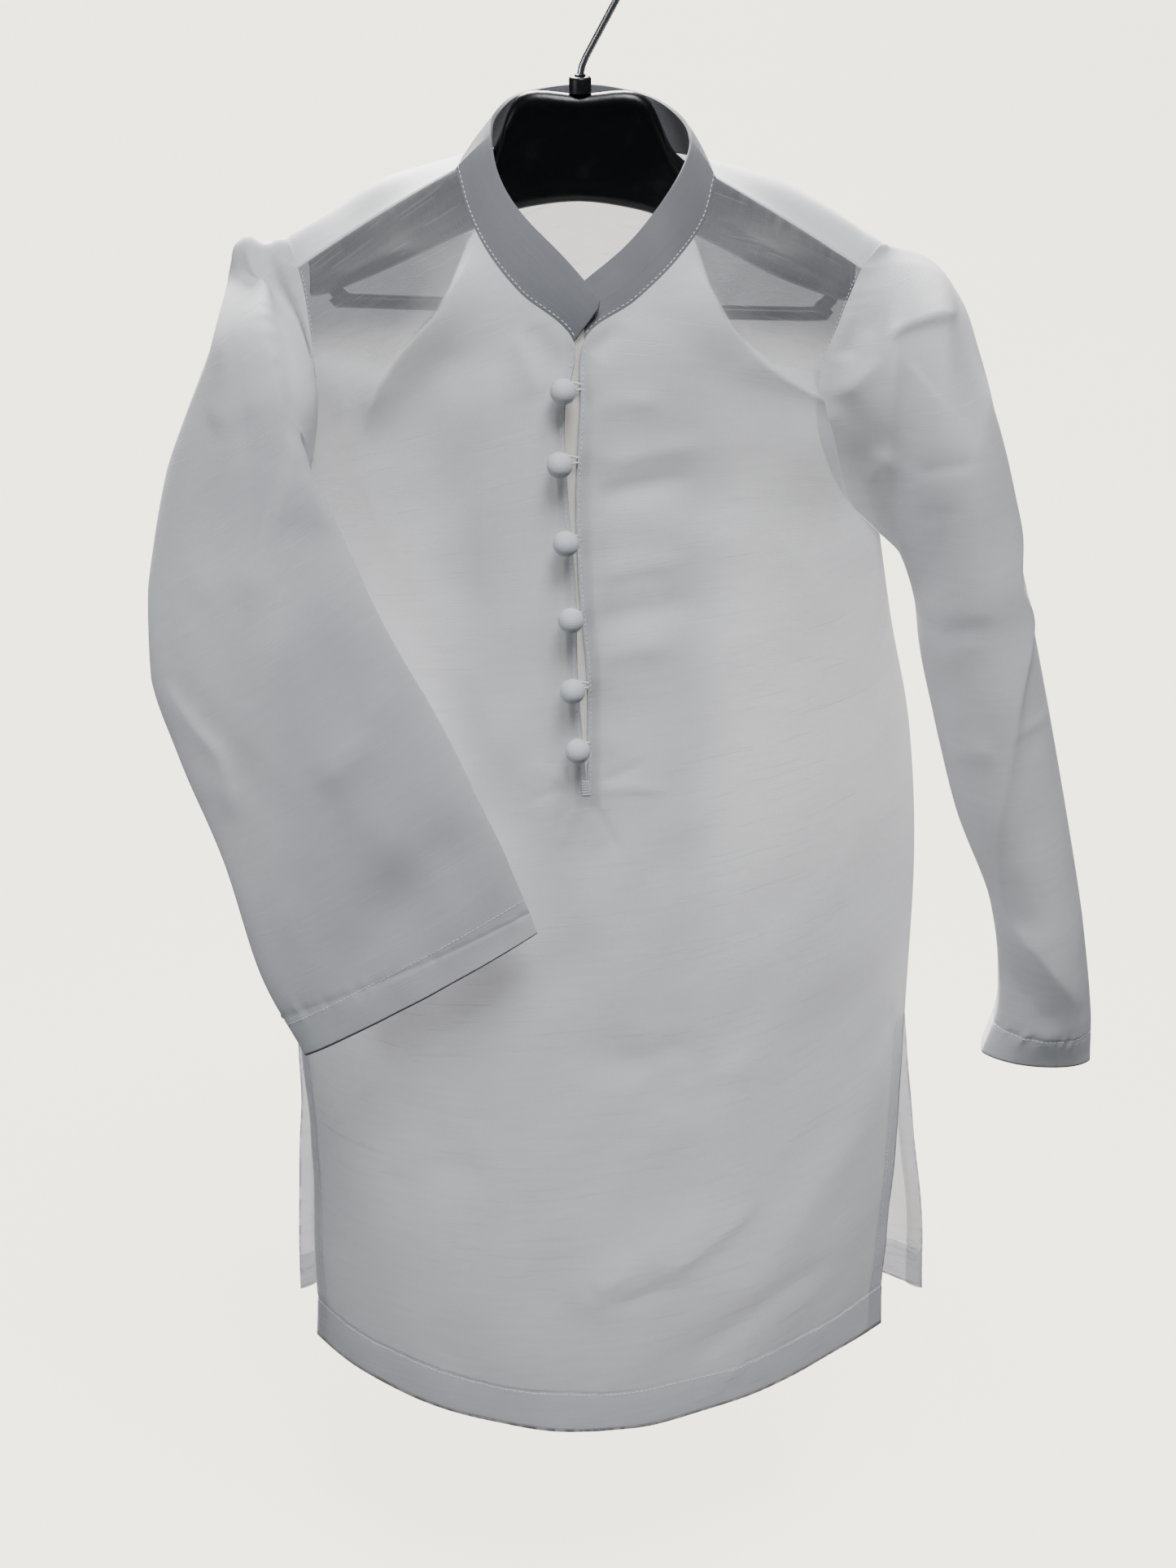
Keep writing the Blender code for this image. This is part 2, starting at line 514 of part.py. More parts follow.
def sleeve(name, front, back, front_edge, back_edge, table, cap, underarm=None):
    """A sleeve from the armhole's own points to the cuff, flattened between two folds."""
    armhole = np.vstack([front.points[front_edge], back.points[back_edge[-2:0:-1]]])
    around = len(armhole)
    under = len(front_edge) - 1
    table = np.asarray(table)
    start = np.concatenate([armhole[0], armhole[under], table[0, 6:9], [0.0]])
    control = spline(np.vstack([start, table]), SLEEVE_STEPS)
    outer, inner = control[:, :3], control[:, 3:6]
    lift_front, lift_back, lean, turn = (control[:, k, None] for k in range(6, 10))
    middle = (outer + inner) / 2
    forward = unit(np.cross(inner - outer, np.gradient(middle, axis=0)))
    forward *= -np.sign(forward[:, 1:2])
    angle = 2 * math.pi * np.arange(around) / around
    turned = angle + turn * (1 - np.cos(angle)) / 2
    across = np.cos(turned)[..., None]
    lift = np.sign(np.sin(turned)) * np.abs(np.sin(turned)) ** SLEEVE_SHARPNESS
    lift *= np.where(lift > 0, lift_front, lift_back) * (1 + lean * np.cos(turned))
    lift = lift[..., None]
    grid = middle[:, None] + (outer - inner)[:, None] / 2 * across + forward[:, None] * lift
    station = np.repeat(np.arange(len(SLEEVE_STEPS)), SLEEVE_STEPS)
    within = np.concatenate([np.arange(n) / n for n in SLEEVE_STEPS])
    station = np.append(station + within, len(SLEEVE_STEPS))
    fade = np.clip(1 - station / ARMHOLE_REACH, 0, 1) ** 2
    grid += (armhole - grid[0]) * fade[:, None, None]
    off_top = (np.arange(around) - CAP_COLUMN + around / 2) % around - around / 2
    grid[:len(CAP_RISE), :, 2] += cap * CAP_RISE[:, None] * np.exp(-off_top ** 2 / CAP_SPREAD)
    if underarm is not None:
        line = spline(underarm, SLEEVE_STEPS)
        near = np.clip(-np.cos(angle), 0, 1) ** UNDERARM_SPREAD
        move = (line[:, :3] - grid[:, under]) * np.clip(line[:, 3:], 0, 1)
        grid += move[:, None] * near[:, None]
    for panel_piece in (front, back):
        push_clear(grid[1:], panel_piece)
    ids = np.arange(grid.shape[0] * around).reshape(-1, around)
    quads = cells(np.hstack([ids, ids[:, :1]]))
    inside = np.repeat(grid.mean(axis=1), around, axis=0)
    piece = Piece(name, grid.reshape(-1, 3), quads, inside)
    piece.ring = ids[0]
    piece.cut_across((ids,), sum(SLEEVE_STEPS[:ELBOW_STEP]), name + "_forearm")
    piece.wall[ids[-2:].ravel()] *= HEM_WALL
    return piece


def push_clear(grid, panel_piece):
    """Move the points of a grid that sink into a panel just clear of its outer face."""
    tree = BVHTree.FromPolygons(panel_piece.points.tolist(), panel_piece.quads.tolist())
    for point in grid.reshape(-1, 3):
        spot, normal, _, distance = tree.find_nearest(point, PUSH_REACH)
        if spot is None:
            continue
        height = float(np.dot(point - spot, normal))
        over_face = abs(height) > OVER_FACE * distance
        if over_face and height < PUSH_CLEAR:
            point += np.array(normal) * (PUSH_CLEAR - height)


def join_sleeve(piece, front, front_ids, back, back_ids):
    """Set a sleeve into the armhole of the two panels."""
    under = len(front_ids) - 1
    MITRES.pop(place(front.points[front_ids[-1]]), None)
    join(piece, piece.ring[:under + 1], front, front_ids)
    back_ring = np.append(piece.ring[under:], piece.ring[0])
    join(piece, back_ring, back, back_ids[::-1])


def collar(front, back):
    """Stand collar on the points of the neckline."""
    neck = row_number(NECK_ROW)
    nape = row_number(BACK_NECK_ROW)
    stretches = ((front, front.left[neck::-1, 0]), (back, back.left[:nape + 1, 0]),
                 (back, back.right[nape::-1, 0]), (front, front.right[:neck + 1, 0]))
    base = np.vstack([stretches[0][0].points[stretches[0][1]]]
                     + [piece.points[ids[1:]] for piece, ids in stretches[1:]])
    rim = spline(COLLAR_RIM, (2,) * (len(COLLAR_RIM) - 1))
    heights = np.linspace(0, 1, 4)[:, None, None]
    grid = base * (1 - heights) + rim * heights
    ids = np.arange(grid.shape[0] * grid.shape[1]).reshape(grid.shape[:2])
    centre = base * (0, 0, 1) + (*NECK_AXIS, 0)
    inside = np.tile(centre, (grid.shape[0], 1))
    piece = Piece("collar", grid.reshape(-1, 3), cells(ids), inside, COLLAR_WALL)
    start = 0
    for panel_piece, panel_ids in stretches:
        stop = start + len(panel_ids)
        join(piece, ids[0, start:stop], panel_piece, panel_ids)
        start = stop - 1
    return piece


def underlap(front):
    """Strip behind the slit, from the points beside it, moved in by the wall and a gap."""
    rows = slice(row_number(NECK_ROW), row_number(SLIT_ROW) + 2)
    inward = -front.normals()
    ids = np.hstack([front.left[rows, 1::-1], front.right[rows, :2]])
    points = front.points[ids] + inward[ids] * (WALL + UNDERLAP_GAP)
    points[0] += (points[1] - points[0]) * UNDERLAP_DROP
    middle = points[:, 1:3].mean(axis=1, keepdims=True)
    grid = np.concatenate([points[:, :1], middle, points[:, 3:]], axis=1)
    numbers = np.arange(grid.shape[0] * 3).reshape(-1, 3)
    inside = grid.reshape(-1, 3) + (0, 3.0, 0)
    return Piece("placket_underlap", grid.reshape(-1, 3), cells(numbers), inside, STRIP_WALL)


def build_buttons(front, material):
    """Covered ball buttons on the button side's edge, and the cord loops round them."""
    edge = front.points[front.left[:, 0]]
    far_edge = front.points[front.right[:, 0]]
    for number, z in enumerate(BUTTON_HEIGHTS, 1):
        x = float(np.interp(-z, -edge[:, 2], edge[:, 0])) - BUTTON_INSET
        loop_x = float(np.interp(-z, -far_edge[:, 2], far_edge[:, 0]))
        y = surface_y(edge, z) - SHANK - BUTTON_RADIUS
        bpy.ops.mesh.primitive_uv_sphere_add(segments=12, ring_count=8, radius=BUTTON_RADIUS * CM)
        button = bpy.context.active_object
        button.name = f"button_{number}"
        button.data.name = button.name
        button.location = (x * CM, y * CM, (z - HOOK_DROP) * CM)
        button.data.materials.append(material)
        button.data.shade_smooth()
        move_to(PARTS, button)
        sink = BUTTON_RADIUS * SHANK_SINK
        add_shank(button, x, y + BUTTON_RADIUS - sink, SHANK + sink - CLEARANCE, z)
        build_loop(number, x, loop_x, edge, z, material)


def surface_y(edge, z):
    """y of the front's outer face at a height, read from the slit's edge."""
    return float(np.interp(-z, -edge[:, 2], edge[:, 1]))


def add_shank(button, x, y, length, z):
    """Thread shank under a button, one solid with it."""
    bpy.ops.mesh.primitive_cylinder_add(vertices=8, radius=SHANK_RADIUS * CM, depth=length * CM,
                                        rotation=(math.pi / 2, 0, 0),
                                        location=(x * CM, (y + length / 2) * CM, (z - HOOK_DROP) * CM))
    shank = bpy.context.active_object
    shank.name = button.name + "_shank"
    shank.hide_render = True
    shank.display_type = "WIRE"
    move_to(CUTTERS, shank)
    add_union(button, shank)


def build_loop(number, button_x, edge_x, edge, z, material):
    """Cord loop from the other edge of the slit round the shank of a button."""
    angles = np.radians(np.linspace(*LOOP_ANGLES))
    route = [(edge_x + LOOP_FOOT, LOOP_SPREAD)]
    route += [(button_x + LOOP_REACH * math.cos(a), LOOP_REACH * math.sin(a)) for a in angles]
    route += [(edge_x + LOOP_FOOT, -LOOP_SPREAD)]
    lift = LOOP_RADIUS + CLEARANCE
    points = [(x, surface_y(edge, z + rise) - lift, z + rise) for x, rise in route]
    add_wire(f"loop_{number}", points, LOOP_RADIUS, material, 1)


def add_wire(name, points, radius, material, resolution=2):
    """Round wire or cord along points, as a mesh with closed ends."""
    curve = bpy.data.curves.new(name, "CURVE")
    curve.dimensions = "3D"
    curve.bevel_depth = radius * CM
    curve.bevel_resolution = resolution
    curve.use_fill_caps = True
    line = curve.splines.new("POLY")
    line.points.add(len(points) - 1)
    for spot, point in zip(line.points, points):
        spot.co = (point[0] * CM, point[1] * CM, (point[2] - HOOK_DROP) * CM, 1)
    curve.materials.append(material)
    obj = bpy.data.objects.new(name, curve)
    PARTS.objects.link(obj)
    return obj


def move_to(collection, obj):
    """Put an object in one collection alone."""
    for other in obj.users_collection:
        other.objects.unlink(obj)
    collection.objects.link(obj)


def build_hanger(plastic, black_metal, bright_wire):
    """Moulded hanger with a trouser bar, the hook's ferrule and the bent wire hook."""
    sections = spline(HANGER, (2,) * (len(HANGER) - 1))
    angles = 2 * math.pi * np.arange(HANGER_POINTS) / HANGER_POINTS
    rings = []
    for x, y, top, bottom, half_depth in sections:
        sway = half_depth * squared(np.cos(angles))
        rise = (top - bottom) / 2 * squared(np.sin(angles))
        rings.append(np.column_stack([np.full(HANGER_POINTS, x), y + sway, (top + bottom) / 2 + rise]))
    grid = np.array(rings)
    ids = np.arange(len(rings) * HANGER_POINTS).reshape(len(rings), HANGER_POINTS)
    quads = cells(np.hstack([ids, ids[:, :1]]))
    faces = [tuple(quad[::-1]) for quad in quads]
    faces += [tuple(ids[0][::-1]), tuple(ids[-1])]
    body = add_mesh("hanger_body", grid.reshape(-1, 3), faces, plastic)
    route = spline([(x, BAR_Y, z) for x, z in HANGER_BAR], BAR_STEPS)
    union_with(body, add_wire("bar", route, BAR_RADIUS, plastic, 1))
    bpy.ops.mesh.primitive_cylinder_add(vertices=24, radius=FERRULE_RADIUS * CM,
                                        depth=FERRULE_HEIGHT * CM)
    ferrule = bpy.context.active_object
    ferrule.name = "hanger_ferrule"
    ferrule.location.z = (FERRULE_BASE + FERRULE_HEIGHT / 2 - HOOK_DROP) * CM
    ferrule.data.materials.append(black_metal)
    move_to(PARTS, ferrule)
    arc = np.radians(np.linspace(*HOOK_ANGLES))
    centre_x, centre_z = HOOK_CENTRE
    route = list(HOOK_STEM)
    route += [(centre_x + HOOK_RADIUS * math.cos(a), centre_z + HOOK_RADIUS * math.sin(a)) for a in arc]
    add_wire("hook", [(x, 0.0, z) for x, z in route], WIRE_RADIUS, bright_wire, 2)


def squared(wave):
    """A circle's sine or cosine, made a little squarer."""
    return np.sign(wave) * np.abs(wave) ** HANGER_ROUNDNESS


def union_with(body, tool):
    """Join a curve's tube to a body as one solid."""
    depsgraph = bpy.context.evaluated_depsgraph_get()
    mesh = bpy.data.meshes.new_from_object(tool.evaluated_get(depsgraph))
    work = bmesh.new()
    work.from_mesh(mesh)
    bmesh.ops.remove_doubles(work, verts=work.verts, dist=1e-6)
    work.to_mesh(mesh)
    work.free()
    cutter = bpy.data.objects.new(tool.name + "_solid", mesh)
    cutter.matrix_world = tool.matrix_world
    cutter.hide_render = True
    cutter.display_type = "WIRE"
    CUTTERS.objects.link(cutter)
    bpy.data.objects.remove(tool)
    add_union(body, cutter)


def add_union(body, cutter):
    """Join a second solid to a body."""
    union = body.modifiers.new("Union", "BOOLEAN")
    union.operation = "UNION"
    union.object = cutter
    union.solver = "EXACT"


def main():
    """Build the garment from its neck outwards, then the hanger."""
    cloth = make_material("white_cloth", (0.60, 0.60, 0.61), 0.75)
    trim = make_material("cream_trim", (0.62, 0.60, 0.55), 0.8)
    plastic = make_material("black_plastic", (0.01, 0.01, 0.012), 0.25)
    black_metal = make_material("black_metal", (0.02, 0.02, 0.02), 0.35, 0.6)
    bright_wire = make_material("bright_wire", (0.7, 0.7, 0.72), 0.2, 1.0)

    front = panel("front", FRONT_CENTRE, FRONT_LEFT, FRONT_RIGHT, SLIT_ROW, FRONT_FOLDS, -1)
    back = panel("back", BACK_CENTRE, BACK_LEFT, BACK_RIGHT, BACK_NECK_ROW, BACK_FOLDS, 1)
    armhole = slice(0, row_number(UNDERARM_ROW) + 1)
    seam = slice(row_number(UNDERARM_ROW), row_number(VENT_ROW) + 1)
    sleeves = []
    for name, side, table, cap, underarm in (
            ("sleeve_right", "left", SLEEVE_RIGHT, 1.0, UNDERARM_RIGHT),
            ("sleeve_left", "right", SLEEVE_LEFT, 0.5, None)):
        front_ids = getattr(front, side)
        back_ids = getattr(back, side)
        join(front, front_ids[0], back, back_ids[0])
        join(front, front_ids[seam, -1], back, back_ids[seam, -1])
        arm_front = front_ids[armhole, -1]
        arm_back = back_ids[armhole, -1]
        piece = sleeve(name, front, back, arm_front, arm_back, table, cap, underarm)
        join_sleeve(piece, front, arm_front, back, arm_back)
        sleeves.append(piece)
    band = collar(front, back)
    strip = underlap(front)
    for piece in (front, back, *sleeves, band):
        piece.build(cloth)
    strip.build(trim)
    build_buttons(front, cloth)
    build_hanger(plastic, black_metal, bright_wire)


for old in list(bpy.data.objects):
    bpy.data.objects.remove(old)
MITRES = {}               # inward directions at the seams, by place
PARTS = bpy.data.collections.new("kurta_on_hanger")
CUTTERS = bpy.data.collections.new("cutters")
bpy.context.scene.collection.children.link(PARTS)
bpy.context.scene.collection.children.link(CUTTERS)
main()
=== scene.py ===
# %% [markdown]
# # A child's kurta on a hanger
#
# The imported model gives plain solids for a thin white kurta, its buttons and its hanger. In
# this lesson every piece that shows is made again as fine as real cloth and thread are, on
# the same lines as the solids. The cloth comes first, because everything else is set on it.

# %% The frame
import json
import math

import bmesh
import bpy
import numpy as np
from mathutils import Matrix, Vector
from mathutils.bvhtree import BVHTree

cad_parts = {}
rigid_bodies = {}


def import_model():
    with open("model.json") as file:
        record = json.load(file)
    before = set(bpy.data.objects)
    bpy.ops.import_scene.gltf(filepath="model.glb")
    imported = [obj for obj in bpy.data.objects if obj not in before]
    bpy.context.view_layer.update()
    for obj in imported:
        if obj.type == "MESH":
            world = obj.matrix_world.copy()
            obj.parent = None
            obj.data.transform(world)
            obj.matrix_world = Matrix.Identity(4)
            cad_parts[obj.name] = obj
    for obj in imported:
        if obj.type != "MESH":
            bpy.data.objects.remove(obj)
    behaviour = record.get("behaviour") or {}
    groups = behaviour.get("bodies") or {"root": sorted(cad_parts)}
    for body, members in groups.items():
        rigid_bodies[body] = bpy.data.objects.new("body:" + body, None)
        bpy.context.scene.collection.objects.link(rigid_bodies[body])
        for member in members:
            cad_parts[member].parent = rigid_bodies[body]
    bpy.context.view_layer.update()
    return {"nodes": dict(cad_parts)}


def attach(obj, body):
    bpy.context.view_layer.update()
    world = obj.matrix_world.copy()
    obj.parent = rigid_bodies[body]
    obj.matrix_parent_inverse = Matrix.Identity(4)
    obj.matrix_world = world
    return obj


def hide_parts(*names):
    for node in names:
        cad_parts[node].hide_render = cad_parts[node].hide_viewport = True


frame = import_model()
scene = bpy.context.scene
bpy.ops.object.select_all(action="DESELECT")
print("solids in the frame:", len(frame["nodes"]))

# %% [markdown]
# ## The camera
#
# The garment was looked at from a little above its collar, downwards by 27 degrees, through
# a normal lens. A camera could be aimed with a constraint, but a place and a tilt are easier
# to check against the photograph, so they are given as numbers.

# %% Camera
CAMERA_PLACE = (0.00375, -1.12729, 0.12661)
CAMERA_DOWN = math.radians(27)

camera = bpy.data.objects.new("camera", bpy.data.cameras.new("camera"))
camera.data.sensor_width = 36
camera.data.lens = 53.43
camera.location = CAMERA_PLACE
camera.rotation_euler = (math.pi / 2 - CAMERA_DOWN, 0, 0)
scene.collection.objects.link(camera)
scene.camera = camera
print("camera looks down by", round(math.degrees(CAMERA_DOWN)), "degrees")

# %% [markdown]
# ## Tables of the pattern
#
# A dressmaker works from a paper pattern. Here the pattern is a few tables in centimetres,
# the same ones that the solids were built from, with heights measured from the level of the
# shoulder points, 15 cm below the inner top of the hook. A smooth curve runs down each
# column, so the cloth can be cut as finely as it needs to be.

# %% Body of the kurta
CM = 0.01
HOOK_DROP = 15.0

FRONT_CENTRE = (
    # button_x, button_y, button_z, loop_x, loop_y, loop_z
    (-5.90, -1.0, 3.55, 6.45, -1.0, 3.15),
    (-5.30, -2.4, 1.80, 5.87, -2.4, 1.45),
    (-4.31, -3.9, 0.25, 4.49, -3.9, -0.12),
    (-2.77, -5.2, -1.35, 2.57, -5.2, -1.70),
    (-0.30, -6.4, -3.30, 0.22, -6.4, -3.20),
    (-0.71, -7.1, -6.50, -0.04, -7.1, -6.50),
    (-0.57, -7.7, -10.5, -0.23, -7.7, -10.5),
    (-0.20, -8.1, -15.0, -0.11, -8.1, -15.0),
    (-0.10, -8.4, -20.0, 0.30, -8.4, -20.0),
    (0.32, -8.7, -25.8, 0.32, -8.7, -25.8),
    (0.50, -9.3, -34.0, 0.50, -9.3, -34.0),
    (0.70, -10.1, -43.5, 0.70, -10.1, -43.5),
    (0.80, -10.7, -50.5, 0.80, -10.7, -50.5),
    (0.90, -11.3, -57.8, 0.90, -11.3, -57.8),
    (0.95, -11.9, -65.0, 0.95, -11.9, -65.0),
)
FRONT_RIGHT = (
    # knee_x, knee_y, knee_z, edge_x, edge_y, edge_z
    (10.0, -1.35, 1.20, 13.57, -1.5, -1.09),
    (9.7, -3.2, 0.10, 12.92, -2.4, -2.31),
    (9.2, -4.6, -1.20, 12.36, -3.1, -3.55),
    (9.0, -5.9, -2.90, 11.75, -3.6, -5.00),
    (10.5, -6.6, -5.50, 11.45, -3.9, -7.20),
    (12.9, -7.2, -8.20, 11.90, -3.2, -9.60),
    (14.4, -7.0, -11.8, 13.30, -2.1, -12.6),
    (15.2, -7.2, -15.5, 15.30, -0.8, -15.0),
    (14.3, -7.9, -20.0, 16.25, -0.5, -20.0),
    (13.0, -8.6, -26.0, 17.55, -0.4, -26.0),
    (12.0, -9.3, -34.0, 18.35, -0.2, -34.0),
    (11.5, -10.0, -44.0, 18.50, 0.0, -44.4),
    (11.0, -10.8, -50.8, 18.35, -1.3, -51.0),
    (10.6, -11.4, -58.0, 18.10, -2.2, -58.0),
    (8.8, -11.4, -64.6, 18.00, -2.8, -64.7),
)
FRONT_LEFT = (
    # knee_x, knee_y, knee_z, edge_x, edge_y, edge_z
    (-9.8, -1.35, 1.50, -13.60, -1.5, -1.05),
    (-9.4, -3.2, 0.40, -13.25, -2.4, -2.20),
    (-9.0, -4.6, -0.90, -13.00, -3.1, -3.60),
    (-9.2, -5.7, -2.80, -12.85, -3.6, -5.20),
    (-9.8, -6.3, -5.20, -12.80, -3.9, -7.20),
    (-10.6, -6.8, -8.00, -13.10, -3.4, -9.60),
    (-11.2, -7.0, -11.6, -13.90, -2.3, -12.6),
    (-11.6, -7.3, -15.3, -15.00, -0.8, -15.3),
    (-11.8, -7.9, -20.0, -15.70, -0.5, -20.0),
    (-12.0, -8.6, -26.0, -16.20, -0.4, -26.0),
    (-11.0, -9.3, -34.0, -16.40, -0.2, -34.0),
    (-10.5, -10.0, -44.0, -16.30, 0.0, -44.4),
    (-10.0, -10.8, -50.8, -15.80, -1.3, -51.0),
    (-9.6, -11.4, -58.0, -15.70, -2.2, -58.0),
    (-8.6, -11.9, -65.2, -16.03, -2.8, -65.6),
)
BACK_CENTRE = (
    # left_x, left_y, left_z, right_x, right_y, right_z
    (-5.90, -1.0, 3.55, 6.45, -1.0, 3.15),
    (-5.40, 1.2, 3.90, 5.90, 1.2, 3.45),
    (-3.40, 3.2, 3.75, 3.70, 3.2, 3.40),
    (0.20, 4.2, 3.50, 0.20, 4.2, 3.50),
    (0.20, 5.0, 0.00, 0.20, 5.0, 0.00),
    (0.20, 5.4, -5.0, 0.20, 5.4, -5.0),
    (0.20, 5.6, -10.0, 0.20, 5.6, -10.0),
    (0.25, 5.7, -15.5, 0.25, 5.7, -15.5),
    (0.30, 5.8, -20.5, 0.30, 5.8, -20.5),
    (0.40, 6.0, -27.0, 0.40, 6.0, -27.0),
    (0.60, 6.3, -35.0, 0.60, 6.3, -35.0),
    (0.80, 6.5, -44.5, 0.80, 6.5, -44.5),
    (1.00, 6.8, -51.0, 1.00, 6.8, -51.0),
    (1.40, 7.0, -58.0, 1.40, 7.0, -58.0),
    (1.80, 7.1, -65.1, 1.80, 7.1, -65.1),
)
BACK_RIGHT = (
    # knee_x, knee_y, knee_z, edge_x, edge_y, edge_z
    (10.0, -1.35, 1.20, 13.57, -1.5, -1.09),
    (10.6, 0.9, 2.60, 14.67, 0.0, -0.28),
    (10.5, 3.6, 2.00, 14.75, 1.4, -1.30),
    (9.5, 5.2, 1.00, 14.30, 2.6, -3.20),
    (9.0, 6.0, -2.50, 13.90, 3.2, -5.60),
    (10.5, 6.4, -6.50, 13.80, 3.2, -8.40),
    (12.5, 6.2, -11.0, 14.30, 2.0, -12.2),
    (14.5, 5.6, -15.4, 15.30, -0.8, -15.0),
    (14.0, 5.6, -20.0, 16.25, -0.5, -20.0),
    (13.0, 5.9, -26.5, 17.55, -0.4, -26.0),
    (12.0, 6.3, -34.5, 18.35, -0.2, -34.0),
    (11.0, 6.6, -44.4, 18.50, 0.0, -44.4),
    (11.0, 6.9, -51.0, 19.30, 0.3, -51.0),
    (11.5, 7.1, -58.0, 20.40, 0.6, -58.0),
    (12.0, 7.2, -65.0, 20.93, 0.8, -65.0),
)
BACK_LEFT = (
    # knee_x, knee_y, knee_z, edge_x, edge_y, edge_z
    (-9.8, -1.35, 1.50, -13.60, -1.5, -1.05),
    (-10.2, 0.9, 2.70, -14.30, 0.0, 0.00),
    (-10.2, 3.6, 2.10, -14.50, 1.4, -1.20),
    (-9.3, 5.2, 1.10, -14.20, 2.6, -3.20),
    (-9.0, 6.0, -2.40, -13.90, 3.2, -5.60),
    (-10.3, 6.4, -6.50, -13.80, 3.2, -8.40),
    (-12.0, 6.2, -11.0, -14.00, 2.0, -12.2),
    (-14.0, 5.6, -15.4, -15.00, -0.8, -15.3),
    (-13.4, 5.6, -20.0, -15.70, -0.5, -20.0),
    (-12.2, 5.9, -26.5, -16.20, -0.4, -26.0),
    (-11.0, 6.3, -34.5, -16.40, -0.2, -34.0),
    (-10.0, 6.6, -44.4, -16.30, 0.0, -44.4),
    (-9.6, 6.9, -51.0, -16.50, 0.3, -51.0),
    (-9.0, 7.1, -58.0, -17.00, 0.6, -58.5),
    (-8.5, 7.2, -65.0, -17.28, 0.8, -65.1),
)
PANEL_STEPS = (2,) * 7 + (2, 3, 4, 5) + (3, 3, 3)
UNDERARM_ROW = 7
VENT_ROW = 11
SLIT_ROW = 9
NECK_ROW = 4
BACK_NECK_ROW = 3
print("rows down a panel:", len(FRONT_CENTRE))

# %% Sleeves and collar
SLEEVE_STEPS = (3, 3, 3, 4, 4, 4, 4, 3)
SLEEVE_LEFT = (
    # outer_x, outer_y, outer_z, inner_x, inner_y, inner_z, front, back, lean, turn
    (17.90, 0.2, -2.3, 16.50, -1.0, -16.2, 4.3, 4.3, 0.5, 0.0),
    (20.20, -0.3, -6.8, 17.20, -1.2, -18.3, 4.2, 4.2, 0.45, 0.0),
    (21.80, -0.8, -13.4, 17.60, -1.5, -20.8, 3.9, 4.2, 0.2, 0.0),
    (23.60, -1.0, -20.2, 18.40, -1.5, -24.0, 3.7, 4.0, 0.1, 0.0),
    (25.60, -1.0, -28.1, 20.20, -1.5, -30.3, 3.6, 3.8, 0, 0.0),
    (27.45, -1.2, -36.1, 22.50, -1.6, -36.2, 3.4, 4.2, 0, 0.0),
    (28.60, -1.7, -42.6, 23.40, -1.9, -42.0, 2.4, 4.8, 0, 0.0),
    (28.90, -2.0, -46.3, 22.70, -2.0, -45.8, 1.3, 5.2, 0, 0.0),
)
SHOULDER_EDGE = (
    # z, x
    (-14.0, -21.8),
    (-10.0, -20.2),
    (-4.8, -17.9),
    (-2.3, -17.0),
    (0.0, -16.25),
    (1.0, -16.0),
)
SLEEVE_RIGHT = (
    # outer_x, outer_y, outer_z, inner_x, inner_y, inner_z, front, back, lean, turn
    (-17.10, -0.2, -2.3, -13.60, -4.8, -9.5, 2.3, 3.6, 0.0, 0.7),
    (-19.60, -1.6, -8.0, -12.20, -6.7, -10.3, 2.0, 3.4, 0.0, 1.2),
    (-21.30, -2.9, -14.0, -11.05, -7.7, -12.9, 1.6, 3.0, 0.0, 1.4),
    (-22.00, -4.6, -20.0, -9.40, -8.8, -16.7, 1.4, 2.4, 0.0, 1.4),
    (-20.60, -6.0, -25.0, -7.00, -9.7, -21.2, 1.3, 2.0, 0.0, 1.4),
    (-18.50, -7.2, -30.6, -4.60, -10.8, -26.2, 1.2, 2.0, 0.0, 1.4),
    (-16.80, -8.4, -36.8, -3.00, -11.25, -30.0, 1.0, 1.8, 0.0, 1.4),
    (-14.63, -9.2, -41.26, -2.19, -11.4, -32.43, 1.0, 1.8, 0.0, 1.4),
)
UNDERARM_RIGHT = (
    # x, y, z, hold
    (-15.00, -0.8, -15.3, 1.0),
    (-16.80, -1.0, -16.6, 1.0),
    (-16.80, -2.6, -17.8, 1.0),
    (-16.60, -4.1, -20.6, 0.8),
    (-15.60, -5.8, -24.0, 0.4),
    (-14.00, -7.2, -28.0, 0.0),
    (-12.00, -8.6, -32.0, 0.0),
    (-10.00, -9.6, -36.0, 0.0),
    (-9.00, -10.0, -38.0, 0.0),
)
COLLAR_RIM = (
    # x, y, z
    (1.04, -6.30, -1.45),
    (-0.70, -4.70, 0.20),
    (-2.78, -3.00, 1.95),
    (-3.90, -1.60, 3.45),
    (-4.25, -0.10, 4.95),
    (-4.10, 1.50, 5.70),
    (-2.80, 3.30, 6.30),
    (0.30, 4.30, 6.50),
    (3.30, 3.50, 6.10),
    (4.90, 1.90, 5.40),
    (5.30, -0.10, 4.70),
    (4.80, -1.60, 3.50),
    (3.50, -3.10, 2.00),
    (2.00, -4.10, 0.50),
    (0.10, -4.90, -0.90),
)
print("sections down a sleeve:", len(SLEEVE_LEFT))

# %% [markdown]
# ## Folds
#
# Thin cloth on a hanger breaks into soft ridges and troughs that start where it is held: at
# the neck, the shoulder points, the foot of the slit and the elbow. A cloth simulation gives
# folds of its own, but not these, so each is a line drawn on the garment with its height and
# how far it spreads to either hand. The tables below are in centimetres. A fold with a small
# spread on one hand is sharp there, and a power near 1 gives it a crest like pressed cloth.

